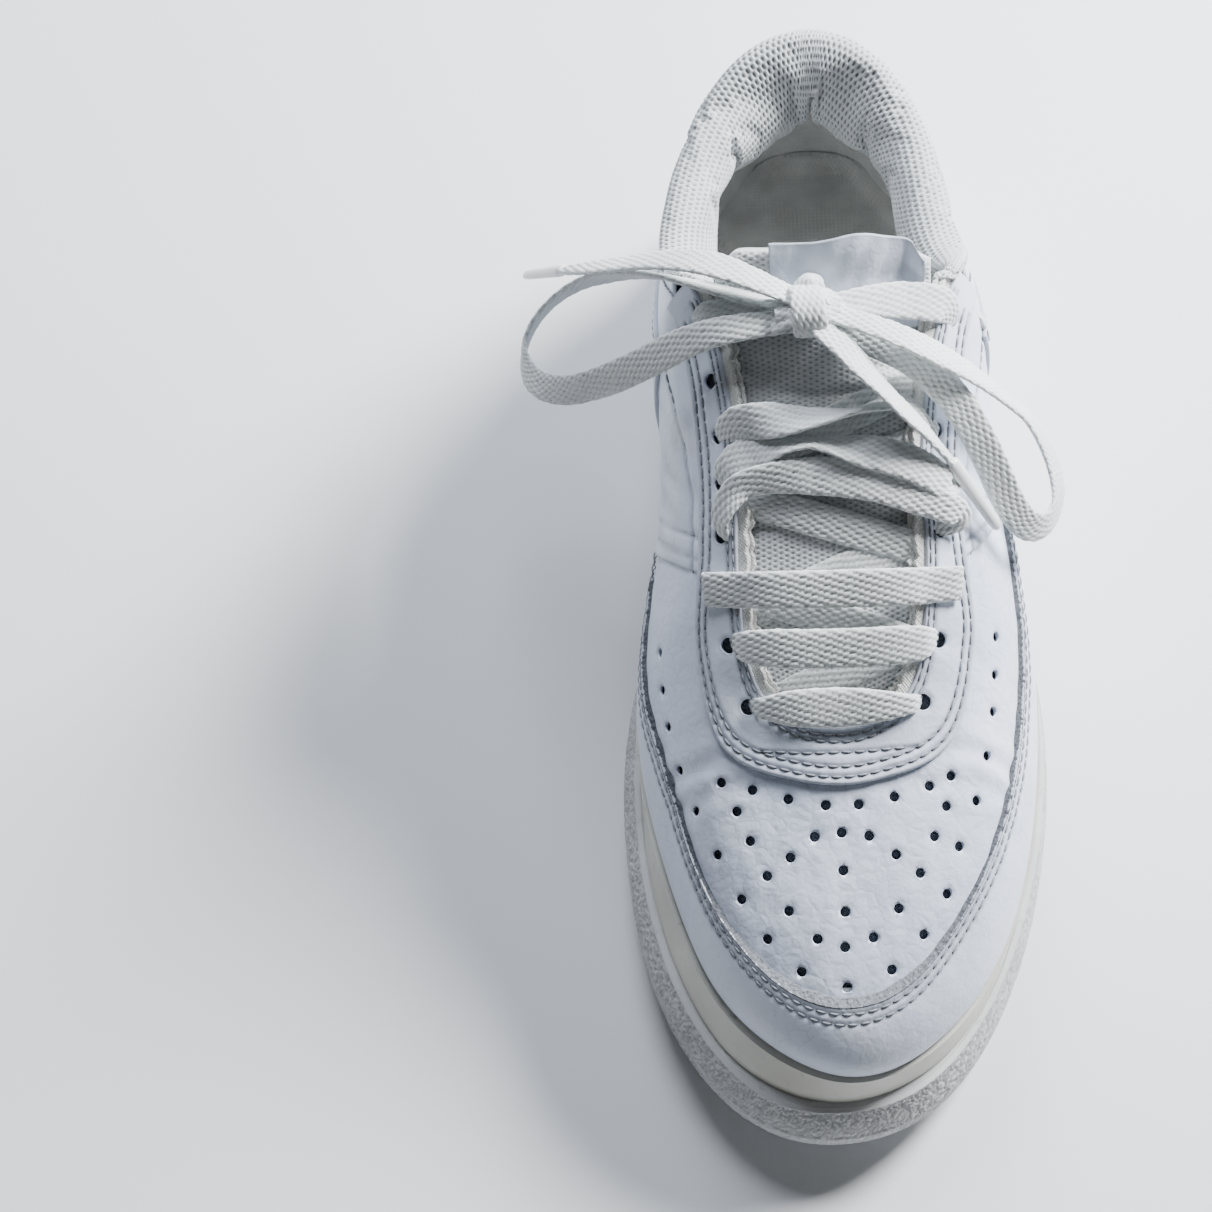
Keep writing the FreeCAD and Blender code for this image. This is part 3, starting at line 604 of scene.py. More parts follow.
def coatedLeather(name, tint, shade, dirtTint, crease=1.0):
    """White coated leather: a soft even gloss, fine pores, hair cracks where it has flexed, grime along the
    dirt mark, and painted shade along the edge mark.
    """
    material, tree, shader = newMaterial(name, IOR=1.48, Coat_Weight=0.12, Coat_Roughness=0.32)
    place = objectPlace(tree)
    wide = addNode(tree, "ShaderNodeTexNoise", inputs={"Vector": place, "Scale": perMm(26), "Detail": 3.0})
    colour = ramp(tree, wide.outputs["Fac"], [(0.3, shade), (0.62, tint)])
    bend = addNode(tree, "ShaderNodeTexNoise", inputs={"Vector": place, "Scale": perMm(5), "Detail": 4.0})
    turned = addNode(tree, "ShaderNodeVectorMath", {"operation": "MULTIPLY_ADD"},
                     {0: bend.outputs["Color"], 1: (0.004, 0.004, 0.004), 2: place})
    crack = addNode(tree, "ShaderNodeTexVoronoi", {"feature": "DISTANCE_TO_EDGE"},
                    {"Vector": turned.outputs[0], "Scale": perMm(3.6)})
    where = addNode(tree, "ShaderNodeTexNoise", inputs={"Vector": place, "Scale": perMm(17), "Detail": 1.0})
    worn = maths(tree, "MULTIPLY", maths(tree, "SUBTRACT", where.outputs["Fac"], 0.5, True), 7.0 * crease,
                 True)
    line = maths(tree, "MULTIPLY", maths(tree, "LESS_THAN", crack.outputs["Distance"], 0.035), worn)
    colour = mixColour(tree, maths(tree, "MULTIPLY", line, 0.2), colour, "#8d94a1")
    speck = addNode(tree, "ShaderNodeTexNoise", inputs={"Vector": place, "Scale": perMm(3.1), "Detail": 6.0,
                                                        "Roughness": 0.7})
    smudge = maths(tree, "MULTIPLY", maths(tree, "SUBTRACT", speck.outputs["Fac"], 0.62, True), 3.0, True)
    colour = mixColour(tree, smudge, colour, "#8a8f99")
    dirt = attribute(tree, "dirt")
    broken = maths(tree, "MULTIPLY", dirt, maths(tree, "ADD", speck.outputs["Fac"], 0.1), True)
    colour = mixColour(tree, broken, colour, dirtTint)
    # Painted shade: the edge mark greys each panel's rim and its whole underside.
    edge = maths(tree, "MULTIPLY", attribute(tree, "edge"), 0.6)
    colour = mixColour(tree, edge, colour, "#8b8e95")
    tree.links.new(colour, shader.inputs["Base Color"])
    pores = addNode(tree, "ShaderNodeTexVoronoi", {"feature": "SMOOTH_F1"},
                    {"Vector": place, "Scale": perMm(0.9)})
    wave = addNode(tree, "ShaderNodeTexNoise", inputs={"Vector": place, "Scale": perMm(7), "Detail": 4.0})
    bumpChain(tree, shader, [(wave.outputs["Fac"], 0.5, 0.35),
                             (crack.outputs["Distance"], 0.25, 0.5 * crease),
                             (pores.outputs["Distance"], 0.08, 0.5)])
    rough = addNode(tree, "ShaderNodeMapRange", inputs={"Value": speck.outputs["Fac"], "To Min": 0.34,
                                                        "To Max": 0.55})
    tree.links.new(rough.outputs[0], shader.inputs["Roughness"])
    return material


def rawSplit(name, tint, shade):
    """Cut core of coated leather: loose grey fibre, matt, mottled at half a millimetre."""
    material, tree, shader = newMaterial(name, Roughness=0.95, Sheen_Weight=0.25, Sheen_Roughness=0.5)
    place = objectPlace(tree)
    fibre = addNode(tree, "ShaderNodeTexNoise", inputs={"Vector": place, "Scale": perMm(0.8), "Detail": 3.0,
                                                        "Roughness": 0.7})
    colour = ramp(tree, fibre.outputs["Fac"], [(0.35, shade), (0.65, tint)])
    colour = mixColour(tree, maths(tree, "MULTIPLY", attribute(tree, "pale"), fibre.outputs["Fac"]), colour,
                       "#9da1a7")
    tree.links.new(colour, shader.inputs["Base Color"])
    bumpChain(tree, shader, [(fibre.outputs["Fac"], 0.35, 0.9)])
    return material


def stitchThread(name, tint, low):
    """Bonded polyester thread, greyed by soiling, with painted shade where it dips into its holes: pale arches
    between dark dots.
    """
    material, tree, shader = newMaterial(name, Roughness=0.7)
    rise = attribute(tree, "rise")
    tree.links.new(ramp(tree, rise, [(0.25, low), (0.75, tint)]), shader.inputs["Base Color"])
    ply = addNode(tree, "ShaderNodeTexNoise", inputs={"Vector": objectPlace(tree), "Scale": perMm(0.4)})
    bumpChain(tree, shader, [(ply.outputs["Fac"], 0.1, 0.5)])
    return material


def mouldedRubber(name, tint, shade, scuff, grain, rough, hollow="#7d7e80"):
    """Moulded sole rubber: satin or matt, greyed by scuffs, with painted shade where the pit mark says it is
    hollow.
    """
    material, tree, shader = newMaterial(name, Roughness=rough, IOR=1.52)
    place = objectPlace(tree)
    wide = addNode(tree, "ShaderNodeTexNoise", inputs={"Vector": place, "Scale": perMm(22), "Detail": 4.0})
    colour = ramp(tree, wide.outputs["Fac"], [(0.32, shade), (0.62, tint)])
    rub = addNode(tree, "ShaderNodeTexNoise", inputs={"Vector": place, "Scale": perMm(4), "Detail": 7.0,
                                                      "Roughness": 0.75})
    mark = maths(tree, "MULTIPLY", maths(tree, "SUBTRACT", rub.outputs["Fac"], 0.58, True), 4.0, True)
    colour = mixColour(tree, mark, colour, scuff)
    # Painted shade in the stipple's hollows, by the pit mark.
    colour = mixColour(tree, maths(tree, "MULTIPLY", attribute(tree, "pit"), 0.6), colour, hollow)
    tree.links.new(colour, shader.inputs["Base Color"])
    fine = addNode(tree, "ShaderNodeTexNoise", inputs={"Vector": place, "Scale": perMm(grain), "Detail": 3.0})
    bumpChain(tree, shader, [(wide.outputs["Fac"], 0.3, 0.25), (fine.outputs["Fac"], 0.12, 0.5)])
    return material


def wovenCloth(name, tint, shade, pitch, depth, fuzz=0.4):
    """Plain woven or felted cloth: matt, with sheen at grazing light, and a crossed thread pattern."""
    material, tree, shader = newMaterial(name, Roughness=0.92, Sheen_Weight=fuzz, Sheen_Roughness=0.45)
    place = objectPlace(tree)
    parts = addNode(tree, "ShaderNodeSeparateXYZ", inputs={"Vector": place})
    turn = 6283.0 / pitch
    waves = [maths(tree, "SINE", maths(tree, "MULTIPLY", parts.outputs[k], turn)) for k in range(3)]
    weave = maths(tree, "MULTIPLY", waves[0], maths(tree, "ADD", waves[1], waves[2]))
    wide = addNode(tree, "ShaderNodeTexNoise", inputs={"Vector": place, "Scale": perMm(9), "Detail": 6.0})
    colour = ramp(tree, wide.outputs["Fac"], [(0.35, shade), (0.65, tint)])
    tree.links.new(colour, shader.inputs["Base Color"])
    bumpChain(tree, shader, [(weave, depth, 0.6), (wide.outputs["Fac"], 0.4, 0.4)])
    return material


def pittedMesh(name, tint, shade, pit):
    """Spacer or knit mesh: pale yarn face around small holes, darkened by painted shade."""
    material, tree, shader = newMaterial(name, Roughness=0.9, Sheen_Weight=0.35, Sheen_Roughness=0.5)
    place = objectPlace(tree)
    wide = addNode(tree, "ShaderNodeTexNoise", inputs={"Vector": place, "Scale": perMm(14), "Detail": 4.0})
    yarn = addNode(tree, "ShaderNodeTexNoise", inputs={"Vector": place, "Scale": perMm(0.5), "Detail": 2.0})
    colour = ramp(tree, wide.outputs["Fac"], [(0.35, shade), (0.65, tint)])
    colour = mixColour(tree, maths(tree, "MULTIPLY", yarn.outputs["Fac"], 0.25), colour, pit)
    # Painted shade in the holes, by the pit mark.
    hollow = addNode(tree, "ShaderNodeMapRange", {"interpolation_type": "SMOOTHSTEP"},
                     {"Value": attribute(tree, "pit"), "From Min": 0.35, "From Max": 0.95})
    colour = mixColour(tree, maths(tree, "MULTIPLY", hollow.outputs[0], 0.85), colour, pit)
    tree.links.new(colour, shader.inputs["Base Color"])
    bumpChain(tree, shader, [(yarn.outputs["Fac"], 0.15, 0.7)])
    return material


def braidedCotton(name, tint, shade):
    """Flat braided lace: matt cotton, with painted shade in the hollows between the yarns."""
    material, tree, shader = newMaterial(name, Roughness=0.88, Sheen_Weight=0.3, Sheen_Roughness=0.5)
    place = objectPlace(tree)
    wide = addNode(tree, "ShaderNodeTexNoise", inputs={"Vector": place, "Scale": perMm(16), "Detail": 4.0})
    hair = addNode(tree, "ShaderNodeTexNoise", inputs={"Vector": place, "Scale": perMm(0.35), "Detail": 2.0})
    colour = ramp(tree, wide.outputs["Fac"], [(0.35, shade), (0.65, tint)])
    # Painted shade: darker where the yarn height is low.
    low = maths(tree, "SUBTRACT", 1.0, attribute(tree, "yarn"), True)
    colour = mixColour(tree, maths(tree, "MULTIPLY", maths(tree, "POWER", low, 1.8), 0.5), colour, "#8b9092")
    tree.links.new(colour, shader.inputs["Base Color"])
    bumpChain(tree, shader, [(hair.outputs["Fac"], 0.12, 0.8)])
    return material


leatherWhite = coatedLeather("whiteCoatedLeather", "#dde4f2", "#d0d9ea", "#34373f")
leatherVamp = coatedLeather("whiteVampLeather", "#dbe3f3", "#cdd7ea", "#34373f", crease=1.5)
splitGrey = rawSplit("cutLeatherCore", "#666a71", "#383b42")
threadGrey = stitchThread("soiledThreadPaintedHoleShade", "#8d9199", "#2b2e33")
rubberRim = mouldedRubber("smoothRimRubber", "#d3d3ca", "#c3c2b8", "#94948e", 0.9, 0.4)
rubberFoxing = mouldedRubber("stippledFoxingRubber", "#d6d7d8", "#c4c5c6", "#8f9093", 0.7, 0.7)
feltGrey = wovenCloth("feltedInsoleCover", "#cbccc8", "#babbb7", 1.1, 0.1, 0.6)
liningCloth = wovenCloth("brushedHeelLining", "#cfd0ce", "#bfc0be", 0.9, 0.08, 0.6)
# Lining made darker than its own grey so that vent and eyelet holes read dark: the lining's grey plus painted
# shade.
liningGreyWithPaintedShade = wovenCloth("ventLiningGreyWithPaintedShade", "#6b737d", "#575e68", 1.0, 0.1, 0.1)
# The last colour of each mesh is the painted shade in its holes.
collarMesh = pittedMesh("collarSpacerMesh", "#dfe3e5", "#ced3d5", "#7c8083")
tongueKnit = pittedMesh("knittedTongueFace", "#dcdedf", "#cdd0d1", "#9da1a4")
laceCotton = braidedCotton("braidedCottonLace", "#eaeeee", "#d9dede")
edgeCloth = wovenCloth("frayedEdgeCloth", "#e6e6e2", "#d2d2cc", 0.8, 0.15, 0.5)
foamPale, _, _ = newMaterial("mouldedFoam", Roughness=0.9)
foamPale.node_tree.nodes["Principled BSDF"].inputs["Base Color"].default_value = rgba("#dcdcd6")
agletClear, _, _ = newMaterial("milkyAgletPlastic", Roughness=0.28, IOR=1.49, Coat_Weight=0.3)
agletClear.node_tree.nodes["Principled BSDF"].inputs["Base Color"].default_value = rgba("#e8eaea")
print("materials done")

# finishes of the solids that stay
# vamp_lining and eyestay_backing take the darkened lining: painted shade seen through the vents and eyelets.
nodeFinish = {
    "outsole": rubberFoxing, "midsole_rim": rubberRim, "midsole_foam": foamPale, "insole_board": foamPale,
    "sockliner_foam": foamPale, "sockliner_cover": feltGrey, "vamp_lining": liningGreyWithPaintedShade, "toe_puff": foamPale,
    "eyestay_backing": liningGreyWithPaintedShade, "quarter_lining_inner": liningCloth, "quarter_lining_outer": liningCloth,
    "heel_counter": foamPale, "heel_lining": liningCloth,
}
for name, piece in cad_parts.items():
    piece.data.materials.clear()
    piece.data.materials.append(nodeFinish.get(name, leatherWhite))

makeCamera(cameraSetup)
makeLights(lightSetup)


def makeFloor(size):
    """Plain pale sheet just under the tread."""
    mesh = bpy.data.meshes.new("floor")
    half = size * mm / 2
    mesh.from_pydata([(-half, -half, -0.0002), (half, -half, -0.0002), (half, half, -0.0002),
                      (-half, half, -0.0002)],
                     [], [(0, 1, 2, 3)])
    floor = bpy.data.objects.new("floor", mesh)
    material, tree, shader = newMaterial("paleFloorCard", Roughness=0.9)
    paper = addNode(tree, "ShaderNodeTexNoise", inputs={"Vector": objectPlace(tree), "Scale": perMm(300)})
    tree.links.new(ramp(tree, paper.outputs["Fac"], [(0.3, "#ebedef"), (0.7, "#f1f3f5")]),
                   shader.inputs["Base Color"])
    mesh.materials.append(material)
    bpy.context.scene.collection.objects.link(floor)


makeFloor(6000)

# laces

laceSetup = {"width": 8.8, "thick": 1.35, "yarn": (2.0, 1.25), "yarnHeight": 0.4, "step": 0.33}


def weave(along, across, pitch):
    """Braid height 0 to 1: yarn floats in slanted, staggered lanes, each the upper half of an ellipsoid."""
    wander = 0.16 * noise(np.stack([along, across, 0 * along], -1), 7, 15)
    q = (0.84 * across - 0.55 * along) / pitch[1] + wander
    lane = np.floor(q)
    v = q - lane - 0.5
    u = (0.84 * along + 0.55 * across) / pitch[0] + 0.5 * (lane % 2) + 0.3 * v - wander
    u = u - np.round(u)
    return np.sqrt(np.clip(1 - (1.8 * u) ** 2 - (1.7 * v) ** 2, 0, 1))


def ribbonMesh(path, facing, width, thick):
    """Flat braid along a path: rounded-box section, wide side at right angles to facing, braid height added
    along the section's normal. Width and facing may change along the path."""
    step = laceSetup["step"]
    even, reach = evenPath(path, step)
    share = reach / reach[-1]
    facing = np.atleast_2d(facing)
    facing = np.stack([np.interp(share, np.linspace(0, 1, len(facing)), facing[:, k]) for k in range(3)], 1)
    wide = np.interp(share, np.linspace(0, 1, len(np.atleast_1d(width))), np.atleast_1d(width))
    thickness = np.interp(share, np.linspace(0, 1, len(np.atleast_1d(thick))), np.atleast_1d(thick))
    tangent = unit(np.gradient(even, axis=0))
    side = unit(np.cross(facing, tangent))
    up = np.cross(tangent, side)
    turn = np.linspace(0, 2 * np.pi, 721)
    box = lambda value, power: np.sign(value) * np.abs(value) ** power
    shape = np.stack([box(np.cos(turn), 0.55), box(np.sin(turn), 0.75)], 1)
    scaled = shape * [wide.mean() / 2, thickness.mean() / 2]
    walk = np.concatenate([[0], np.cumsum(np.linalg.norm(np.diff(scaled, axis=0), axis=1))])
    around = 2 * int(walk[-1] / step / 2)
    places = (np.arange(around) + 0.5) / around * walk[-1]
    x = np.interp(places, walk, shape[:, 0])
    y = np.interp(places, walk, shape[:, 1])
    ring = np.stack([x[None] * wide[:, None] / 2, y[None] * thickness[:, None] / 2], -1)
    flatNormal = unit(np.stack([np.broadcast_to(x * 0.35 * np.abs(x) ** 6, ring.shape[:2]),
                                np.broadcast_to(y, ring.shape[:2])], -1))
    height = weave(reach[:, None] + 0 * x[None], ring[..., 0] + np.where(y > 0, 0.0, 0.9), laceSetup["yarn"])
    grow = (height - 0.55) * laceSetup["yarnHeight"]
    ring = ring + flatNormal * grow[..., None]
    points = even[:, None] + side[:, None] * ring[..., :1] + up[:, None] * ring[..., 1:]
    rows, columns = len(even), around
    faces = [gridFaces(rows, columns, wrapColumns=True, flip=True)]
    half = columns // 2
    k = np.arange(half - 1)
    for row, turned in ((0, True), (rows - 1, False)):
        cap = np.stack([row * columns + k, row * columns + k + 1,
                        row * columns + columns - 2 - k, row * columns + columns - 1 - k], 1)
        faces.append(cap[:, ::-1] if turned else cap)
    return points.reshape(-1, 3), faces, height.ravel()


def ribbon(name, path, facing, width=None, thick=None, replaced=(), body="shoe"):
    points, faces, height = ribbonMesh(path, facing, width or laceSetup["width"], thick or laceSetup["thick"])
    # The yarn height mark drives the painted shade between the yarns.
    piece = addPiece(name, points, faces, laceCotton, body=body, marks={"yarn": height})
    if replaced:
        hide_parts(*replaced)
    return piece


# free cords of the bow: control points in mm, the way the wide side faces, widths along, and what ends them
bowSetup = {
    "lace_loop_inner_braid": {
        "node": "lace_loop_inner", "farEnd": "object", "width": (5.5, 8.2, 8.2, 7.6, 8.2, 8.2, 5.5),
        "facing": [(0, -0.3, 1), (-0.2, -0.4, 1), (-0.9, -0.8, 0.2), (-1, 0.6, 0.2), (0.1, 1, 0.35),
                   (0.3, 0.8, 0.6), (0, 0.6, 1)],
        "route": [(-9, 35.5, 111), (-21, 34.5, 111.5), (-33, 34, 107), (-45, 34, 95), (-57, 36, 81),
                  (-67.5, 40, 69.5), (-75.5, 47.5, 62), (-78, 57.5, 60.5), (-72.5, 65.5, 66.5),
                  (-62, 67.5, 77), (-50, 62, 90.5), (-39, 53.5, 103), (-27.5, 46, 109.5), (-18, 42, 110.5),
                  (-9, 39, 110.5)]},
    "lace_loop_outer_braid": {
        "node": "lace_loop_outer", "farEnd": "object", "width": (5.5, 8.2, 8.2, 7.6, 8.2, 8.2, 5.5),
        "facing": [(0, 0.2, 1), (0.3, 0.3, 1), (0.9, 0.5, 0.5), (1, -0.6, 0.3), (0.3, -1, 0.4),
                   (0.3, -0.7, 0.7), (0, -0.3, 1)],
        "route": [(-1, 36.5, 113.5), (11, 32, 114), (23, 28, 109.5), (34, 25.5, 101), (43.5, 23.5, 90),
                  (50, 22, 80.5), (55.5, 16.5, 71.5), (57.5, 8.5, 66), (54.5, 0.5, 66), (48.5, -3, 71),
                  (43, 0.5, 79), (38, 8.5, 89), (31.5, 18, 98), (22, 26.5, 104), (11, 31, 107),
                  (-1, 34.5, 109)]},
    "lace_end_inner_braid": {
        "node": "lace_end_inner", "farEnd": "fitting", "width": (5.5, 8.2, 8.2, 7.5, 3.2),
        "facing": [(0, 0.3, 1), (-0.2, 0.4, 1), (-0.5, 0.8, 0.7), (-0.6, 0.8, 0.6)],
        "route": [(-7, 39.5, 114), (-18, 44, 117.5), (-29.5, 50, 116), (-40.5, 56, 107.5), (-50.5, 62, 95.5),
                  (-59.5, 68.5, 82.5), (-66.5, 75, 70.5)],
        "aglet": {"piece": "aglet_inner_sleeve", "node": "aglet_inner", "tip": (-77.5, 85.5, 50.5)}},
    "lace_end_outer_braid": {
        "node": "lace_end_outer", "farEnd": "fitting", "width": (5.5, 8.2, 8.0, 3.2),
        "facing": [(0.3, -0.3, 1), (0.9, 0.3, 0.7), (0.9, 0.4, 0.6)],
        "route": [(-4, 34, 113), (1, 28.5, 114.5), (8, 21.5, 111), (15.5, 14.5, 106.5), (23, 9, 101),
                  (28.5, 4.5, 94.5)],
        "aglet": {"piece": "aglet_outer_sleeve", "node": "aglet_outer", "tip": (40.5, -5, 76.5)}},
}


def splinePoints(name, route):
    """The route as a NURBS curve of order 3 through to its ends, read back as points in mm."""
    data = bpy.data.curves.new(name, "CURVE")
    data.dimensions = "3D"
    spline = data.splines.new("NURBS")
    spline.points.add(len(route) - 1)
    flat = np.concatenate([np.array(route) * mm, np.ones((len(route), 1))], 1)
    spline.points.foreach_set("co", flat.ravel())
    spline.order_u = 3
    spline.use_endpoint_u = True
    spline.resolution_u = 16
    holder = bpy.data.objects.new(name, data)
    bpy.context.scene.collection.objects.link(holder)
    mesh = bpy.data.meshes.new_from_object(holder.evaluated_get(bpy.context.evaluated_depsgraph_get()))
    found = np.zeros(len(mesh.vertices) * 3)
    mesh.vertices.foreach_get("co", found)
    bpy.data.objects.remove(holder)
    bpy.data.meshes.remove(mesh)
    return found.reshape(-1, 3) / mm


def makeAglet(name, start, tip, node):
    """Crimped plastic sleeve: a tube of 1.6 mm radius that necks by the crimp and ends in a blunt tip."""
    start, tip = np.array(start, float), np.array(tip, float)
    t = np.array([-0.04, 0, 0.02, 0.08, 0.14, 0.3, 0.6, 0.85, 0.95, 0.99, 1.0])
    radius = np.array([0.9, 1.5, 1.7, 1.62, 1.7, 1.6, 1.5, 1.4, 1.25, 0.8, 0.02])
    axis = unit(tip - start)
    side = unit(np.cross(axis, [0.0, 0.0, 1.0]))
    up = np.cross(axis, side)
    turn = np.linspace(0, 2 * np.pi, 20, endpoint=False)
    circle = np.cos(turn)[:, None] * side * 1.15 + np.sin(turn)[:, None] * up * 0.85
    points = (start + (tip - start) * t[:, None])[:, None] + circle[None] * radius[:, None, None]
    faces = [gridFaces(len(t), 20, wrapColumns=True)]
    for row, turned in ((0, False), (len(t) - 1, True)):
        k = np.arange(9)
        cap = row * 20 + np.stack([k, k + 1, 18 - k, 19 - k], 1)
        faces.append(cap[:, ::-1] if not turned else cap)
    piece = addPiece(name, points.reshape(-1, 3), faces, agletClear)
    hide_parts(node)
    return piece


for name, row in bowSetup.items():
    path = splinePoints(name, row["route"])
    piece = ribbon(name, path, row["facing"], row["width"], replaced=[row["node"]])
    goesWith = []
    if "aglet" in row:
        end = row["aglet"]
        goesWith = [makeAglet(end["piece"], row["route"][-1], end["tip"], end["node"])]
print("bow done")

# panel lines, as lengths above the rim or below the opening edge, in mm

def fromToe(s):
    return np.abs(np.asarray(s, float) - toeS)


def fromHeel(s):
    wrapped = np.mod(s, count)
    return np.minimum(wrapped, count - wrapped)


def below(distance):
    return lambda s: sectionLength(s) - distance


def mudguardTop(s):
    """Height of the mudguard's edge: low at the toe, a shoulder each side of it, then down to the quarter."""
    marks = np.array([[6.2, 20], [7.2, 16], [8.0, 17], [8.9, 21], [9.5, 24], [10.1, 25.5], [10.8, 24.3],
                      [11.3, 20.8], [11.7, 19.4], [12.1, 19.5], [12.45, 20.2], [12.8, 23.3], [13.15, 26.6],
                      [13.6, 29.5], [14.1, 27.0], [14.6, 23.2], [15.2, 20.5], [15.8, 22.0], [16.4, 26],
                      [17.6, 28]])
    fine = np.linspace(marks[0, 0], marks[-1, 0], 300)
    value = np.interp(fine, marks[:, 0], marks[:, 1])
    kernel = np.hanning(53) / np.hanning(53).sum()
    padded = np.pad(value, 26, mode="edge")
    return np.interp(s, fine, np.convolve(padded, kernel, "valid"))


def eyestayWidth(s):
    side = fromToe(s)
    return 16.5 + 2.5 * smooth(side, 0.5, 2.0) - 4.0 * smooth(side, 3.0, 4.2) - 1.0 * smooth(side, 5.0, 7.0)


def quarterFront(side, back=0.0):
    return lambda share: toeS + side * (5.7 - 1.9 * share + back)


def quarterTop(s):
    return sectionLength(s) - (11.0 - 6.5 * smooth(fromToe(s), 7.0, 7.8))


def heelOverlayTop(s):
    """Two steps down from the back seam, as the pattern pieces overlap there."""
    side = fromHeel(s)
    return 31 - 7 * smooth(side, 0.75, 0.95) - 12 * smooth(side, 1.5, 2.6)


eyeletSetup = {"rows": (-46.5, -32.5, -20.0, -8.0, 4.0, 15.0, 28.0, 41.5), "inset": 7.0, "radius": 2.0}
ventSetup = {"radius": 1.25, "half": [  # from the toe outwards, x and y of one half; x = 0 stands once
    (0, -111.5), (-11, -107.5), (-19, -99.5), (-25, -90), (-30.5, -79), (-35.5, -68),
    (0, -102.5), (-6.6, -100.5), (-13.3, -93.7), (-18.5, -85.5), (-22.5, -77), (-25.5, -70),
    (0.3, -94.4), (0, -85), (0, -76.3), (-6.6, -77.2), (-12.8, -81.5),
    (-4, -70), (-13, -68.2), (-21.5, -65.5), (-29, -62.8), (-39.5, -57), (-42, -46), (-43, -37),
    (-43.5, -28)]}


# fine grid of the forepart, searched for the place of each vent
searchS = np.linspace(4.5, 19.5, 900)[:, None]
searchShare = np.linspace(0.15, 1, 260)[None, :]
searchPoints = skin(searchS + 0 * searchShare, searchShare * sectionLength(searchS))


def placeAt(x, y):
    """Point and outward axis on the skin straight over x, y: the nearest of the search grid."""
    gap = ((searchPoints[..., :2] - [x, y]) ** 2).sum(-1)
    i, j = np.unravel_index(np.argmin(gap), gap.shape)
    s = searchS[i, 0]
    length = searchShare[0, j] * sectionLength(s)
    point = skin(s, length)
    return point, skin(s, length, 1.0) - point


def eyeletPlaces(side):
    """Where each eyelet sits: on the line at the inset below the throat edge, where it crosses the row's y."""
    s = toeS + side * np.linspace(1.2, 7.4, 600)
    length = sectionLength(s) - eyeletSetup["inset"]
    y = skin(s, length)[:, 1]
    found = []
    for row in eyeletSetup["rows"]:
        at = np.interp(row, y, s) if y[0] < y[-1] else np.interp(row, y[::-1], s[::-1])
        reach = float(sectionLength(at)) - eyeletSetup["inset"]
        point = skin(at, reach)
        found.append((point, skin(at, reach, 1.0) - point))
    return found


eyelets = {side: eyeletPlaces(side) for side in (-1, 1)}
eyeletHoles = [(point, axis, eyeletSetup["radius"]) for side in (-1, 1) for point, axis in eyelets[side]]
ventHoles = []
for x, y in ventSetup["half"]:
    for side in ((1,) if abs(x) < 1 else (1, -1)):
        # the outer side lies a little further in at its widest rows
        across = x * side * (0.93 if side < 0 else 1.0) if abs(x) > 28 else x * side
        if side < 0 and x < -39:
            across = -x * 0.92
        ventHoles.append((*placeAt(across - 0.4, y), ventSetup["radius"]))


def alongLow(low, start, end, inset, number=260):
    s = np.linspace(start, end, number)
    return s, (low(s) if callable(low) else np.full(number, float(low))) + inset


# stitched lines: station and length arrays
seams = {}
guard = (toeS - 5.2, toeS + 4.9)
seams["mudguard"] = [alongLow(mudguardTop, *guard, -2.0), alongLow(mudguardTop, *guard, -4.5)]
stayEdge = lambda s: sectionLength(s) - eyestayWidth(s)
seams["eyestay"] = [alongLow(stayEdge, 5.6, 18.4, 2.0, 500), alongLow(stayEdge, 5.6, 18.4, 4.5, 500)]
throat = lambda inset: (lambda s: sectionLength(s) - inset - 1.1 * (1 - smooth(fromToe(s), 0.3, 1.8)))
seams["eyestay"] += [alongLow(throat(3.3), 5.4, 18.6, 0, 500), alongLow(throat(4.9), 5.4, 18.6, 0, 500)]
crossS = np.linspace(toeS - 1.62, toeS + 1.62, 90)
crossLength = lengthAtY(crossS, -58.0) + 1.6 * smooth(fromToe(crossS), 0.2, 1.5)
inStay = crossLength > stayEdge(crossS) + 4.4
seams["eyestay"].append((crossS[inStay], crossLength[inStay]))
for side, backEnd in ((-1, 0.35), (1, count - 0.35)):
    key = "quarter_inner" if side < 0 else "quarter_outer"
    share = np.linspace(0.02, 0.98, 120)
    rows = []
    for back in (0.16, 0.36):
        s = quarterFront(side, back)(share)
        rows.append((s, share * quarterTop(s)))
    s = np.linspace(toeS + side * 6.9, backEnd, 300)
    rows.append((s, sectionLength(s) - 8.0 - 2.5 * smooth(fromHeel(s), 1.0, 3.0)))
    s = toeS + side * np.linspace(4.0, 6.6, 120)
    rows.append((s, sectionLength(s) - 18.0 - 9.0 * smooth(fromToe(s), 4.6, 6.4)))
    seams[key] = rows
    key = "side_panel_inner" if side < 0 else "side_panel_outer"
    s = toeS + side * np.linspace(6.72, 8.88, 120)
    seams[key] = [(s, 16.0 + 0 * s), (s, sectionLength(s) * 0.62 - 2.0)]
heelEdge = np.linspace(-2.5, 2.5, 300)
seams["heel_overlay"] = [(heelEdge, heelOverlayTop(heelEdge) - 2.0),
                         (heelEdge, heelOverlayTop(heelEdge) - 4.5)]
tabReach = np.linspace(33, float(sectionLength(0.0)) - 8, 60)
seams["heel_tab"] = [(np.full(60, side * 0.4), tabReach) for side in (-1, 1)]
lines = {key: [skinOver(s, length) for s, length in rows] for key, rows in seams.items()}


def vampLift(s, length, base):
    """Flex creases behind the toe box: three shallow waves across, deeper at the sides."""
    wave = np.sin((base[..., 1] + 0.12 * np.abs(base[..., 0]) + 1.2 * noise(base, 24, 9)) * 2 * np.pi / 8.5)
    place = np.exp(-((base[..., 1] + 60) / 9.0) ** 2) * smooth(np.abs(base[..., 0]), 12, 30)
    return 0.32 * wave * place


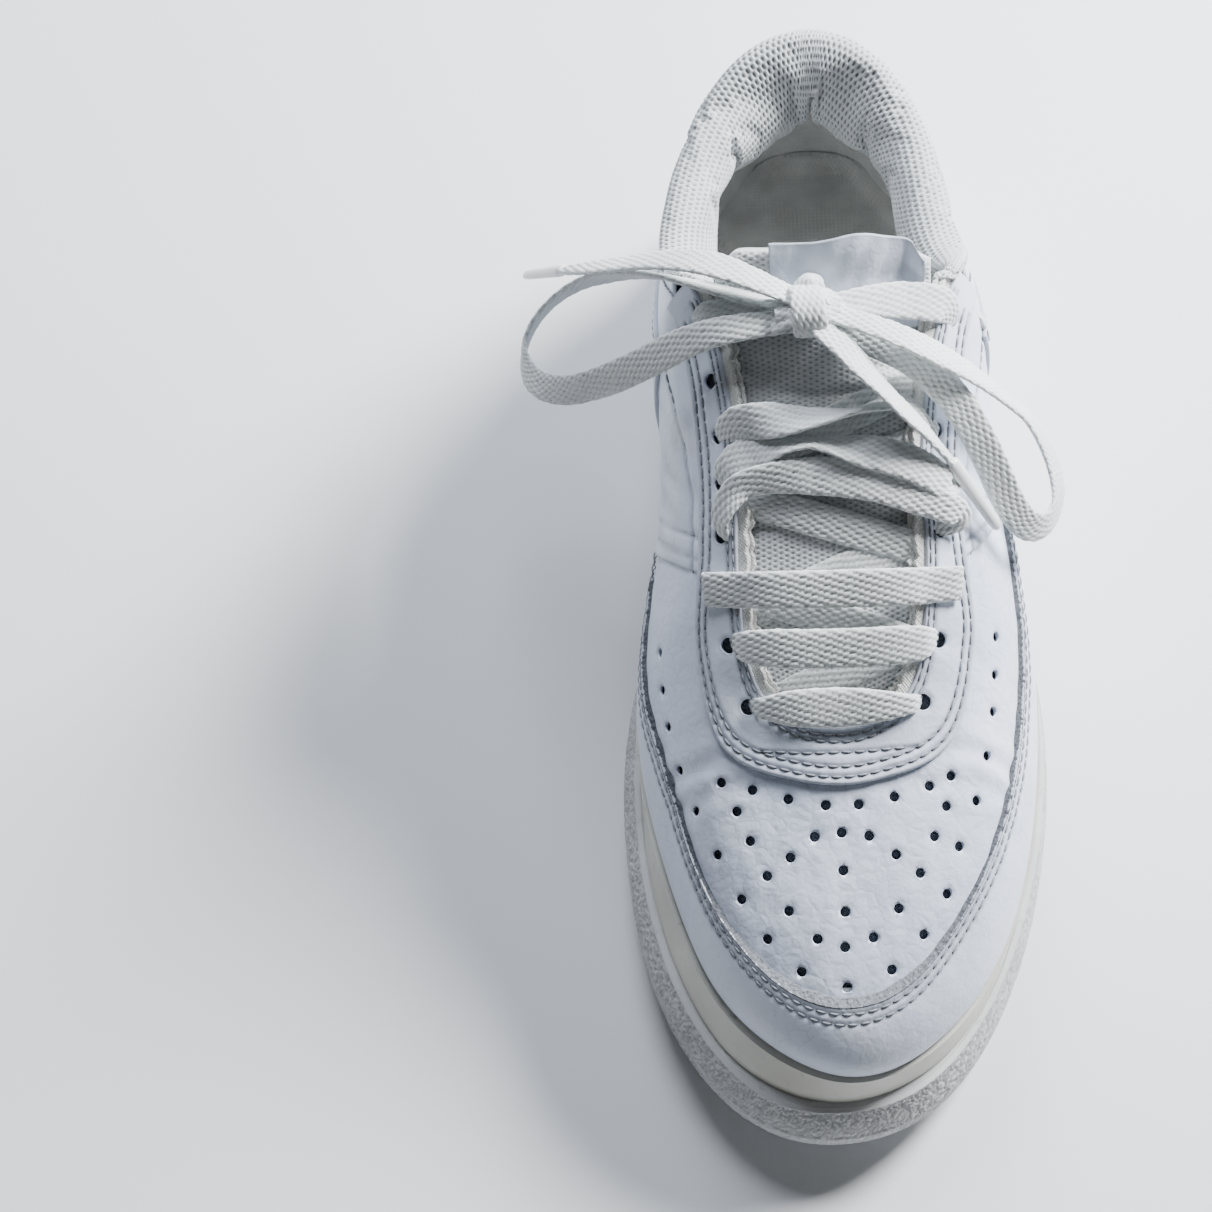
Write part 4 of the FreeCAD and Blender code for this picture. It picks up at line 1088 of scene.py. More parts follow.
def quarterLift(side):
    """The quarter lies over the vamp in front, wrinkles where the ankle flexes, and stands off at the heel."""
    def lift(s, length, base):
        share = length / np.maximum(quarterTop(s), 1)
        back = (fromToe(s) - (5.7 - 1.9 * share)) * 9.5
        raise_ = 0.75 * (1 - smooth(back, 9, 20))
        if side > 0:
            away = smooth(fromHeel(s), 0.9, 1.4) * (1 - smooth(fromHeel(s), 3.7, 4.5))
            raise_ = raise_ + 1.1 * away * smooth(length, quarterTop(s) - 18, quarterTop(s))
        wave = np.sin((base[..., 1] * 0.8 + base[..., 2] + 1.5 * noise(base, 20, 21)) * 2 * np.pi / 11)
        return raise_ + 0.28 * wave * np.exp(-((base[..., 1] - 8) / 22) ** 2) * smooth(length, 12, 30)
    return lift


leatherPanel("vamp_leather", quarterFront(-1, 0.35), quarterFront(1, 0.35), 0.3, below(11), 62, 0.0, -1.2,
             leatherVamp, holes=ventHoles, lift=vampLift, replaced=["vamp"], step=0.85)
leatherPanel("mudguard_leather", lambda w: toeS - 5.62 + 0.88 * w, lambda w: toeS + 5.62 - 0.95 * w, 0.3,
             mudguardTop, 24, 1.4, 0.1, leatherWhite, seams=lines["mudguard"], replaced=["mudguard"],
             step=0.7)
leatherPanel("eyestay_leather", 5, 19, stayEdge, below(2.2), 17, 1.45, 0.1, leatherWhite,
             seams=lines["eyestay"], holes=eyeletHoles, replaced=["eyestay"], step=0.6)
for side, part, back in ((-1, "inner", 0.0), (1, "outer", float(count))):
    leatherPanel(f"quarter_{part}_leather", quarterFront(side), back, 0.3, quarterTop, 62, 0.0, -1.1,
                 leatherWhite, seams=lines[f"quarter_{part}"], lift=quarterLift(side),
                 replaced=[f"quarter_{part}"], step=0.9)
    leatherPanel(f"side_panel_{part}_leather", toeS + side * 6.6, toeS + side * 9.0, 14,
                 lambda s: 0.62 * sectionLength(s), 30, 1.1, -0.05, leatherWhite,
                 seams=lines[f"side_panel_{part}"], replaced=[f"side_panel_{part}"])
leatherPanel("heel_overlay_leather", -2.6, 2.6, 0.3, heelOverlayTop, 28, 1.4, 0.1, leatherWhite,
             seams=lines["heel_overlay"], replaced=["heel_overlay"])
leatherPanel("heel_tab_leather", -0.5, 0.5, 31.5, below(5.5), 45, 1.5, 0.05, leatherWhite,
             seams=lines["heel_tab"], replaced=["heel_tab"])
heelCloth = lambda s, length, base: -(2.0 + 8.0 * (1 - smooth(fromHeel(s), 1.4, 3.0))
                                      * (1 - smooth(length, 4, 30)))
leatherPanel("heel_lining_cloth", -5.2, 5.2, 0.5, lambda s: 0.72 * sectionLength(s), 30, -1.4, -2.2,
             liningCloth, lift=heelCloth, replaced=["heel_lining"], step=1.2)
# Dark lining sheet under the eyestay: painted shade seen through the eyelets, on a lining that is really there.
leatherPanel("eyestay_lining_cloth_painted_shade", 6.0, 18.0, below(12), below(2.5), 12, -1.3, -1.9, liningGreyWithPaintedShade,
             replaced=["eyestay_backing"], step=1.2)
for side, part in ((-1, "inner"), (1, "outer")):
    near, far = sorted((toeS + side * 5.8, toeS + side * 6.75))
    leatherPanel(f"quarter_lining_{part}_cloth", near, far, 0.5, below(12.5), 30, -1.3, -2.1, liningCloth,
                 replaced=[f"quarter_lining_{part}"], step=1.2)
print("leather panels done")

for key, height in (("mudguard", 1.3), ("eyestay", 1.35), ("quarter_inner", 0.0), ("quarter_outer", 0.0),
                    ("side_panel_inner", 1.0), ("side_panel_outer", 1.0), ("heel_overlay", 1.3),
                    ("heel_tab", 1.4)):
    stitchRow(seams[key], threadGrey, f"{key}_stitching", height)
print("stitching done")


# raw edges

def rawEdge(name, start, end, top, material):
    """Rough cut face of the mudguard, from its upper side down to the vamp: widest and palest at the toe."""
    s = np.linspace(start, end, 900)[:, None]
    w = np.linspace(0, 1, 9)[None, :]
    toe = 1 - smooth(fromToe(s), 0.5, 1.7)
    width = 1.5 + 1.1 * toe + 0.25 * noise(skin(s[:, 0], 20.0), 9, 31)[:, None]
    length = top(s) + (-0.55 + width * w)
    base = skinOver(s + 0 * w, length)
    swell = relief(base)
    fibre = 0.16 * noise(base, 1.1, 32) + 0.1 * noise(base, 0.6, 33)
    slope = 0.02 + 1.45 * (1 - w) ** 1.15 + fibre * np.sin(np.pi * np.clip(w, 0.08, 0.92))
    outer = skinOver(s + 0 * w, length, swell + slope)
    inner = skinOver(s + 0 * w, length, swell - 0.15)
    points, faces = shellMesh(outer, inner)
    return addPiece(name, points, faces, material,
                    marks={"pale": np.concatenate([(toe + 0 * w).ravel()] * 2)})


rawEdge("mudguard_raw_edge", toeS - 4.85, toeS + 4.75, mudguardTop, splitGrey)


def ragged(s):
    """Torn edge of the throat's backing: a few tenths of a millimetre in and out, with longer frays."""
    point = skin(s, sectionLength(s) * 0.98)
    return sectionLength(s) + 0.1 + 0.35 * noise(point, 2.2, 41) + 0.5 * np.clip(noise(point, 9, 42), 0, 1)


leatherPanel("throat_binding", 5.2, 18.8, below(4.3), ragged, 6, 0.35, -1.2, edgeCloth,
             step=0.45, roundness=0.35)
leatherPanel("throat_binding_inner", 5.2, 18.8, below(3.0),
             lambda s: ragged(s) + 0.9 + 0.5 * noise(skin(s, 30.0), 5, 47), 5, -1.25, -1.9, edgeCloth,
             step=0.45, roundness=0.3)

# sole wall

foxingSetup = {"columns": 1900, "rows": 46, "stand": 0.42, "grain": 0.34}
rimInset = {"heel": 4.5, "collarInner": 3.5, "ankleInner": 3, "waistInner": 3, "jointInner": 4,
            "ballInner": 4.2, "cheekInner": 5, "toe": 7, "cheekOuter": 3.2, "ballOuter": 2.2,
            "archOuter": 2.2, "ankleOuter": 2.5, "collarOuter": 3.2}


def rimOffset(s):
    """Inset of the wall's top from the outline, eased from one named station to the next."""
    at = np.array([stationAt[name] for name in rimInset] + [count], float)
    inset = np.array(list(rimInset.values()) + [rimInset["heel"]], float)
    s = np.mod(s, count)
    k = np.clip(np.searchsorted(at, s, "right") - 1, 0, len(at) - 2)
    t = (s - at[k]) / (at[k + 1] - at[k])
    t = t * t * (3 - 2 * t)
    return -(inset[k] * (1 - t) + inset[k + 1] * t)


def makeFoxing(setup):
    """Band round the sole: outline moved out by the wall's profile, from the tread's edge to the rim line;
    fine grooves run where either of two small noises crosses zero."""
    s = np.linspace(0, count, setup["columns"], endpoint=False)[:, None]
    v = np.linspace(0, 1, setup["rows"])[None, :]
    plan = ringValues(ring, s)[..., :2]
    out = planNormals(s, 0)
    y = plan[..., 1]
    top = foxingHeight(y) + 0.05
    low = treadHeight(y) + 0.7
    z = low + (top - low) * (1 - (1 - v) ** 1.6)
    level = np.array([-2.0, 4, 9, 15])
    offset = np.array([-4.4, -0.8, 0, -0.3])
    wall = np.interp(z, level, offset)
    wall = np.where(z > 15, -0.3 + (rimOffset(s) + 0.3) * smooth(z, 13.5, top + 3.5), wall)
    soften = smooth(z, 3, 6) * (1 - smooth(z, 7, 10)) * 0.25
    x3 = plan[..., 0] + out[..., 0] * (wall + soften)
    y3 = plan[..., 1] + out[..., 1] * (wall + soften)
    base = np.stack([x3, y3, z], -1)
    cells = smooth(np.minimum(np.abs(noise(base, 2.3, 51)), np.abs(noise(base, 1.9, 52))), 0.03, 0.4)
    cells = 1 - (1 - cells) * smooth(1 - v, 0.03, 0.16)
    rounding = 0.9 * (1 - np.sqrt(1 - np.clip(1 - np.minimum(v, 1 - v) * 22, 0, 1) ** 2))
    grain = setup["grain"] * (cells - 0.5) * smooth(np.minimum(v, 1 - v), 0.02, 0.06)
    push = setup["stand"] + grain - rounding
    outer = base + out * push[..., None]
    inner = base - out * 1.0
    points = np.concatenate([outer, inner[:, ::-1][:, [0, -1]]], 1)
    columns = setup["rows"] + 2
    faces = [gridFaces(setup["columns"], columns, wrapRows=True, wrapColumns=True)]
    # The pit mark is 1 in the grooves: the material paints shade there.
    return addPiece("foxing_band", points.reshape(-1, 3), faces, rubberFoxing,
                    marks={"pit": np.concatenate([1 - cells, 0 * cells[:, :2]], 1)})


makeFoxing(foxingSetup)
print("sole wall done")


# padded pieces

def cubicRows(old, new):
    """Matrix that takes old evenly spaced rows to new ones by the Catmull-Rom cubic."""
    place = np.linspace(0, old - 1, new)
    i = np.minimum(place.astype(int), old - 2)
    t = place - i
    weights = [(-t + 2 * t**2 - t**3) / 2, (2 - 5 * t**2 + 3 * t**3) / 2, (t + 4 * t**2 - 3 * t**3) / 2,
               (t**3 - t**2) / 2]
    matrix = np.zeros((new, old))
    for shift, weight in zip((-1, 0, 1, 2), weights):
        np.add.at(matrix, (np.arange(new), np.clip(i + shift, 0, old - 1)), weight)
    return matrix


def inflate(name, grid, pressure, shrink, cap, frames=20):
    """Cloth under pressure: the open grid held at its border, swollen by Blender's cloth, each point
    kept within cap of where it began."""
    rows, columns = grid.shape[:2]
    mesh = bpy.data.meshes.new(name)
    mesh.from_pydata((grid.reshape(-1, 3) * mm * 10).tolist(), [], gridFaces(rows, columns).tolist())
    cloth = bpy.data.objects.new(name, mesh)
    bpy.context.scene.collection.objects.link(cloth)
    index = np.arange(rows * columns).reshape(rows, columns)
    held = cloth.vertex_groups.new(name="held")
    held.add(np.unique(np.concatenate([index[0], index[-1], index[:, 0], index[:, -1]])).tolist(), 1.0, "ADD")
    work = cloth.modifiers.new("cloth", "CLOTH")
    rules = work.settings
    rules.quality = 8
    rules.mass = 0.3
    rules.tension_stiffness = 25
    rules.compression_stiffness = 25
    rules.bending_stiffness = 2.0
    rules.vertex_group_mass = "held"
    rules.shrink_min = shrink
    rules.use_pressure = True
    rules.uniform_pressure_force = pressure
    rules.effector_weights.gravity = 0.0
    work.collision_settings.use_collision = False
    work.point_cache.frame_start = 1
    work.point_cache.frame_end = frames
    for frameNow in range(1, frames + 1):
        bpy.context.scene.frame_set(frameNow)
    done = cloth.evaluated_get(bpy.context.evaluated_depsgraph_get()).to_mesh()
    found = np.zeros(len(done.vertices) * 3)
    done.vertices.foreach_get("co", found)
    bpy.context.scene.frame_set(1)
    bpy.data.objects.remove(cloth)
    move = found.reshape(rows, columns, 3) / mm / 10 - grid
    length = np.linalg.norm(move, axis=-1, keepdims=True)
    print(f"  {name}: cloth moved by up to {length.max():.1f} mm, mean {length.mean():.2f}")
    return grid + move * np.minimum(1, cap / np.maximum(length, 1e-6))


def gridNormals(grid):
    return unit(np.cross(np.gradient(grid, axis=0), np.gradient(grid, axis=1)))


def pitted(points, pitchU, pitchV, radius):
    """Depth 0 to 1 of staggered oval holes in the sheet, laid out by length along each side of the grid."""
    u = np.cumsum(np.linalg.norm(np.diff(points, axis=0, prepend=points[:1]), axis=-1).mean(1))[:, None]
    v = np.cumsum(np.linalg.norm(np.diff(points, axis=1, prepend=points[:, :1]), axis=-1).mean(0))[None, :]
    row = np.floor(v / pitchV)
    x = (u / pitchU + 0.5 * (row % 2)) % 1 - 0.5
    y = (v / pitchV) % 1 - 0.5
    distance = np.sqrt((x * pitchU) ** 2 + (y * pitchV * 0.62) ** 2)
    return 1 - smooth(distance, radius * 0.45, radius * 1.15)


collarSetup = {"reach": 5.25, "pitch": (1.45, 1.6), "hole": 0.5, "depth": 0.45, "rows": 601, "columns": 142,
               "coarse": (161, 31), "pressure": 3.0, "shrink": -0.05, "cap": 3.0}


def makeCollar(setup):
    """Padded roll: from behind the quarter's top edge, up over the roll and down inside, a spline through
    (length from the edge, outward) pairs; thinner towards the eyelets; pleats low down at the heel."""
    rows, columns = setup["coarse"]
    s = np.linspace(-setup["reach"], setup["reach"], rows)
    full = sectionLength(s)
    tip = np.array([[-7.5, -1.35], [-5.4, -0.6], [-2.8, 0.9], [0.4, 1.5], [2.9, -0.8], [3.3, -4.6],
                    [1.2, -8.6], [-4.5, -11.0], [-12, -11.4], [-19, -9.6], [-25, -6.5], [-30, -3.6],
                    [-35, -2.6]])
    lanes = throughPoints(np.concatenate([tip, np.zeros((len(tip), 1))], 1), 12)
    lanes, _ = evenPath(lanes, 0.1)
    pick = np.linspace(0, len(lanes) - 1, columns).astype(int)
    reach, outward = lanes[pick, 0][None, :], lanes[pick, 1][None, :]
    ends = (1 - 0.72 * smooth(fromHeel(s), 3.3, 5.2))[:, None]
    back = (1 - smooth(fromHeel(s), 1.2, 2.6))[:, None]
    hanging = np.interp(-reach, [-4, 4, 12, 20, 28, 33, 35], [0, 1.0, 3.0, 5.5, 8.4, 8.6, 5.0])
    inward = np.where(outward < -1.3, -1.3 + (outward + 1.3) * ends, outward) - hanging * back
    outerSide = (s < 0) * smooth(fromHeel(s), 1.0, 1.6) * (1 - smooth(fromHeel(s), 3.6, 4.6))
    inward = inward - 0.5 * outerSide[:, None]
    deep = np.minimum(38.0, full * 0.44)[:, None] * (1 + 0.42 * back) / 35.0
    reach = np.where(reach < 0, reach * deep, reach * (0.35 + 0.65 * ends))
    low = smooth(-reach, 9, 24) * (1 - smooth(-reach, 30, 35))
    turn = np.where(s > 0, s, 0.85 * s)
    pleat = (np.abs(np.cos(turn * np.pi / 0.95)) ** 0.6 - 0.5)[:, None] * back
    notch = np.exp(-(s[:, None] / 0.17) ** 2) * smooth(-reach, 4, 14)
    inward = inward - 1.8 * pleat * low + 0.5 * low * noise(skin(s, 40.0), 12, 61)[:, None]
    inward = inward + (8.5 * notch + 3.0 * (1 - smooth(np.abs(s[:, None]), 0.1, 0.4)) * low) * back
    reach = reach + (1.6 * noise(skin(s, 30.0), 7, 62)[:, None] + 4.0 * notch) * smooth(-reach, 24, 33)
    coarse = skinOver(s[:, None] + 0 * reach, full[:, None] + reach, inward)
    coarse = inflate("collarCloth", coarse, setup["pressure"], setup["shrink"], setup["cap"])
    fine = np.einsum("ij,jkl->ikl", cubicRows(rows, setup["rows"]), coarse)
    fine = np.einsum("kj,ijl->ikl", cubicRows(columns, setup["columns"]), fine)
    normal = gridNormals(fine)
    side = np.linspace(0, 1, setup["columns"])[None, :]
    pit = pitted(fine, *setup["pitch"], setup["hole"]) * smooth(side, 0.0, 0.05) * (1 - smooth(side, 0.97, 1))
    outer = fine - normal * (pit * setup["depth"])[..., None]
    inner = fine - normal * 2.2
    points, faces = thinShell(outer, inner)
    # The pit mark carries painted shade into the mesh holes.
    piece = addPiece("collar_padding", points, faces, collarMesh,
                     marks={"pit": np.pad(pit.ravel(), (0, len(points) - pit.size))})
    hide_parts("collar_foam", "collar_lining", "collar_roll")
    return piece


makeCollar(collarSetup)
print("collar done")

tongueSetup = {"x": -1.0, "half": 25.0, "pitch": (1.3, 1.35), "hole": 0.42, "depth": 0.28, "fine": (451, 151),
               "coarse": (67, 21), "pressure": 2.0, "shrink": -0.02, "cap": 1.2,
               "spine": [(-58, 54), (-46, 63), (-32, 72), (-18, 80), (-4, 87.5), (10, 93.5), (24, 98.5),
                         (36, 103.5), (46, 109.5), (52.8, 115.5)]}
spineLine = throughPoints([(tongueSetup["x"], y, z) for y, z in tongueSetup["spine"]])
spineLine, _ = evenPath(spineLine, 0.5)


def tonguePoint(along, across, lift=0.0):
    """Point over the tongue: along its spine, out sideways to its half width, dropped by a crown, lifted."""
    along, across, lift = np.broadcast_arrays(np.asarray(along, float), across, lift)
    corner = 0.035 * smooth(np.abs(across), 0.75, 1) * smooth(along, 0.85, 1)
    place = np.clip(along - corner, 0, 1) * (len(spineLine) - 1)
    centre = np.stack([np.interp(place, np.arange(len(spineLine)), spineLine[:, k]) for k in range(3)], -1)
    slope = np.gradient(spineLine, axis=0)
    tangent = unit(np.stack([np.interp(place, np.arange(len(spineLine)), slope[:, k]) for k in range(3)], -1))
    up = np.stack([0 * place, -tangent[..., 2], tangent[..., 1]], -1)
    half = tongueSetup["half"] - 9 * (1 - smooth(along, 0, 0.35)) + 1.5 * smooth(along, 0.6, 1)
    crown = 3.5 * (1 - smooth(along, 0, 0.2)) + 4.5 * smooth(along, 0.1, 0.6)
    over = np.clip(along - 1, 0, 1)[..., None] * 170 * tangent
    point = centre + over + up * (lift - crown * across**2)[..., None]
    return point + (half * across)[..., None] * np.array([1.0, 0, 0])


def tonguePad(along, across):
    """Thickness under the face: full in the middle, thin at the edges and at both ends."""
    filled = (0.15 + 0.85 * smooth(along, 0, 0.5)) * (1 - 0.6 * smooth(along, 0.9, 1))
    return 0.9 + 5.2 * (1 - across**4) * filled


def makeTongue(setup):
    """Knit face over foam: upper and lower sheet between the same borders, the upper one a little swollen."""
    rows, columns = setup["coarse"]
    along, across = np.meshgrid(np.linspace(0, 1, rows), np.linspace(-1, 1, columns), indexing="ij")
    face = tonguePoint(along, across)
    back = tonguePoint(along, across, -tonguePad(along, across))
    face = inflate("tongueCloth", face[:, ::-1], setup["pressure"], setup["shrink"], setup["cap"])[:, ::-1]
    up = [cubicRows(rows, setup["fine"][0]), cubicRows(columns, setup["fine"][1])]
    fine = [np.einsum("kj,ijl->ikl", up[1], np.einsum("ij,jkl->ikl", up[0], one)) for one in (face, back)]
    normal = gridNormals(fine[0])
    normal *= np.sign(normal[..., 2:3])
    a, w = np.meshgrid(*[np.linspace(0, 1, number) for number in setup["fine"]], indexing="ij")
    edge = np.minimum(np.minimum(a, 1 - a) * 170, np.minimum(w, 1 - w) * 2 * setup["half"])
    pit = pitted(fine[0], *setup["pitch"], setup["hole"]) * smooth(edge, 0.6, 1.4)
    bend = 1.3 * np.sqrt(1 - (1 - np.clip(edge / 1.6, 0, 1)) ** 2) - 1.0
    top = fine[0] + normal * (bend - pit * setup["depth"])[..., None]
    points, faces = thinShell(top, fine[1] - normal * 0.4)
    # The pit mark carries painted shade into the knit holes.
    piece = addPiece("tongue_padding", points, faces, tongueKnit, body="tongue",
                     marks={"pit": np.pad(pit.ravel(), (0, len(points) - pit.size))})
    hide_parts("tongue_face", "tongue_foam", "tongue_lining")


makeTongue(tongueSetup)


def makeInsole(setup):
    """Felt cover: across each y from wall to wall, its border cupped up by a smooth step."""
    s = np.linspace(0, count, 1200, endpoint=False)
    plan = ringValues(ring, s)[..., 2:4]
    inset = setup["inset"] + setup["heelInset"] * smooth(plan[:, 1:], 85, 130)
    plan = plan - planNormals(s, 2)[..., :2] * inset
    last, first = plan[:, 1].argmin(), plan[:, 1].argmax()
    halves = [np.roll(plan, -first, 0)[:(last - first) % 1200 + 1],
              np.roll(plan, -last, 0)[:(first - last) % 1200 + 1]]
    halves.sort(key=lambda half: half[:, 0].mean())
    heelY, toeY = plan[first, 1], plan[last, 1]
    y = np.cos(np.linspace(np.pi, 0, 240)) * (heelY - toeY) / 2 + (heelY + toeY) / 2
    left, right = (np.interp(y, np.sort(half[:, 1]), half[np.argsort(half[:, 1]), 0])[:, None]
                   for half in halves)
    share = (np.cos(np.linspace(0, np.pi, 90)) * 0.5 + 0.5)[None, :]
    x = left + (right - left) * share
    y = y[:, None] + 0 * x
    border = np.minimum(np.minimum(x - left, right - x), np.minimum(heelY - y, y - toeY))
    rise = setup["cup"] * (1 - smooth(border, 0, 7)) * (0.4 + 0.6 * smooth(y, -20, 60))
    top = np.stack([x, y, featherHeight(y) + 1.05 + rise], -1)
    top[..., 2] += 0.25 * noise(top, 40, 81)
    points, faces = shellMesh(top, top - [0, 0, 0.9])
    piece = addPiece("sockliner_felt", points, faces, feltGrey)
    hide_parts("sockliner_cover")


makeInsole({"inset": 4.6, "heelInset": 7.5, "cup": 3.0})


def makeLabel():
    """Thin leather patch on the tongue's top: wavy, its upper edge raised in the middle, a corner turned up."""
    rows, columns = 60, 110
    a, w = np.meshgrid(np.linspace(0, 1, rows), np.linspace(-1, 1, columns), indexing="ij")
    along = 0.845 + (0.165 + 0.012 * np.exp(-((w - 0.15) / 0.4) ** 2)) * a
    across = -0.5 + 1.42 * (w + 1) / 2
    wave = 0.5 * np.sin(w * 5 + 2 * a) * a + 0.35 * noise(np.stack([w * 22, a * 20, 0 * a], -1), 12, 71)
    curl = 2.6 * smooth(w, 0.72, 1) * smooth(a, 0.3, 1)
    lift = 1.0 + 0.8 * a + wave + curl
    along = along - 0.012 * curl / 2.6
    points, faces = shellMesh(tonguePoint(along, across, lift + 0.5), tonguePoint(along, across, lift - 0.5))
    border = np.minimum(np.minimum(a, 1 - a) * 28, (1 - np.abs(w)) * 19)
    # The edge mark is painted shade along the label's border and over its underside.
    marks = {"dirt": np.zeros(2 * a.size), "edge": np.concatenate([np.exp(-border / 0.5).ravel(),
                                                                   np.ones(a.size)])}
    piece = addPiece("tongue_label_leather", points, faces, leatherWhite, body="tongue",
                     marks=marks)
    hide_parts("tongue_label")


makeLabel()
print("tongue done")

# lace bars, crossings, top strands and knot


def barPath(row, past=0.0, lift=1.6, bow=5.2, sag=0.0):
    """From eyelet to eyelet: out of the hole, flat over the leather, bowed over the throat as 1 - x^4."""
    (left, leftUp), (right, rightUp) = eyelets[-1][row], eyelets[1][row]
    across = unit(right - left)
    up = unit(np.cross(across, [0.0, 1.0, 0.55]))
    share = np.linspace(0.06, 0.94, 13)
    middle = [left + (right - left) * t + up * (lift + bow * (1 - (2 * t - 1) ** 4))
              - np.array([0, sag, 0]) * np.sin(np.pi * t)
              for t in share]
    if past:
        first = [left - across * past + leftUp * 0.9, left - across * past * 0.4 + leftUp * 1.9 + up * 0.4]
        last = [right + across * past * 0.4 + rightUp * 1.9 + up * 0.4, right + across * past + rightUp * 0.9]
    else:
        first = [left - leftUp * 1.2 + across * 0.5, left + leftUp * 1.0 + across * 1.5]
        last = [right + rightUp * 1.0 - across * 1.5, right - rightUp * 1.2 - across * 0.5]
    return throughPoints(np.array(first + middle + last), 10)


upFront = (0, -0.55, 0.84)
ribbon("lace_bar_1_braid", barPath(0, lift=1.5, bow=4.2),
       [(-0.5, -0.5, 0.7), upFront, upFront, (0.5, -0.5, 0.7)],
       (3.2, 5.5, 8.6, 9.6, 9.8, 9.0, 7.4, 5.0, 3.2), replaced=["lace_bar_1"])
ribbon("lace_bar_2_braid", barPath(1, lift=1.7, bow=4.6, sag=0.8),
       [(-0.5, -0.5, 0.7), upFront, upFront, (0.5, -0.5, 0.7)],
       (4.5, 8.4, 9.6, 9.6, 9.6, 9.6, 9.6, 8.6, 4.5), replaced=["lace_bar_2"])
ribbon("lace_bar_3_braid", barPath(2, past=4.6, lift=2.0, bow=4.9),
       [(-0.3, -0.5, 0.7), upFront, upFront, (0.3, -0.5, 0.7)], (8.4, 9.0, 9.2, 9.2, 9.2, 9.0, 8.4),
       replaced=["lace_bar_3"])


def strand(name, stops, facing, width, replaced=()):
    """Loose strand through given stops; the first and last may be eyelets, as (side, row)."""
    points = []
    for stop in stops:
        if len(stop) == 2:
            place, axis = eyelets[stop[0]][stop[1]]
            place = place - np.array([stop[0] * 0.9, 0, 0])
            turned = 1 if points else -1
            points += [place + axis * 1.2 * turned, place - axis * 1.2 * turned]
        else:
            points.append(np.array(stop, float))
    return ribbon(name, throughPoints(np.array(points), 12), facing, width, replaced=replaced)


strand("lace_bar_4_braid", [(-1, 3), (-27.5, -5, 88.5), (-22, 0.5, 93.5), (-8, 1.5, 95.8), (10, -0.5, 95.2),
                            (24, -4.5, 91.5), (30.5, -6.5, 87.0), (1, 3)],
       [(-0.9, -0.4, 0.3), (-0.5, -0.8, 0.6), (0, -0.5, 0.9), (0, -0.4, 0.9), (0.2, -0.5, 0.8),
        (0.7, -0.3, 0.6)],
       (3.4, 6.5, 7.5, 9.2, 9.4, 9.4, 7, 3.4), ["lace_bar_4"])
strand("lace_bar_5_braid", [(-1, 4), (-24.5, 7.0, 93.0), (-12, 9.5, 98.0), (4, 6.8, 99.0), (18, 3.5, 97.5),
                            (27.5, -0.2, 92.0), (1, 4)],
       [(-0.7, -0.3, 0.5), (0, -0.2, 1), (0, 0.7, 0.7), (0, -0.2, 1), (0.2, -0.3, 0.9), (0.6, -0.2, 0.7)],
       (3.4, 8.4, 8.6, 5.8, 8.4, 9.0, 8.0, 3.4), ["lace_bar_5"])
strand("lace_bar_6_braid", [(-1, 5), (-22, 15.0, 98.5), (-8, 13.5, 102.3), (6, 15.0, 103.0),
                            (17, 18.0, 100.5), (1, 5)],
       [(-0.6, -0.3, 0.6), (0, -0.6, 0.8), (0, 0.3, 1), (0, 1, 0.5), (0.3, 0.3, 0.8), (0.6, -0.2, 0.7)],
       (3.6, 8.6, 9.0, 7.2, 6.8, 7.6, 5.5, 3.4), ["lace_bar_6"])

crossings = [(0.13, 0.24, 1), (0.24, 0.35, -1), (0.30, 0.45, 1), (0.42, 0.53, -1), (0.50, 0.63, 1),
             (0.58, 0.74, 1)]
for index, (start, end, side) in enumerate(crossings):
    t = np.linspace(0, 1, 30)
    path = tonguePoint(start + (end - start) * t, side * (-0.9 + 1.8 * t), 1.3 + 1.2 * (index % 2))
    ribbon(f"lace_crossing_{index + 1}_braid", path, upFront, (7.5, 8.4, 8.4, 7.5), thick=1.2,
           replaced=["lace_crossings"] if index == 0 else ())

strand("lace_top_outer_braid", [(1, 7), (27.5, 41.8, 105.5), (16, 41.0, 110.0), (4, 38.8, 112.6),
                                (-2, 37.6, 112.6)],
       [(0.6, -0.4, 0.6), (0.2, -0.35, 1), (0.1, -0.3, 1), (0, -0.2, 1)], (4.5, 9.2, 9.2, 7.5, 5.5),
       ["lace_top_outer"])
strand("lace_top_inner_braid", [(-1, 7), (-29, 40.6, 105.0), (-20, 38.8, 109.0), (-11, 37.4, 112.0),
                                (-7, 37.2, 112.4)],
       [(-0.6, -0.4, 0.6), (-0.2, -0.35, 1), (0, -0.3, 1), (0, -0.2, 1)], (4.5, 8.2, 8.4, 7.0, 5.5),
       ["lace_top_inner"])

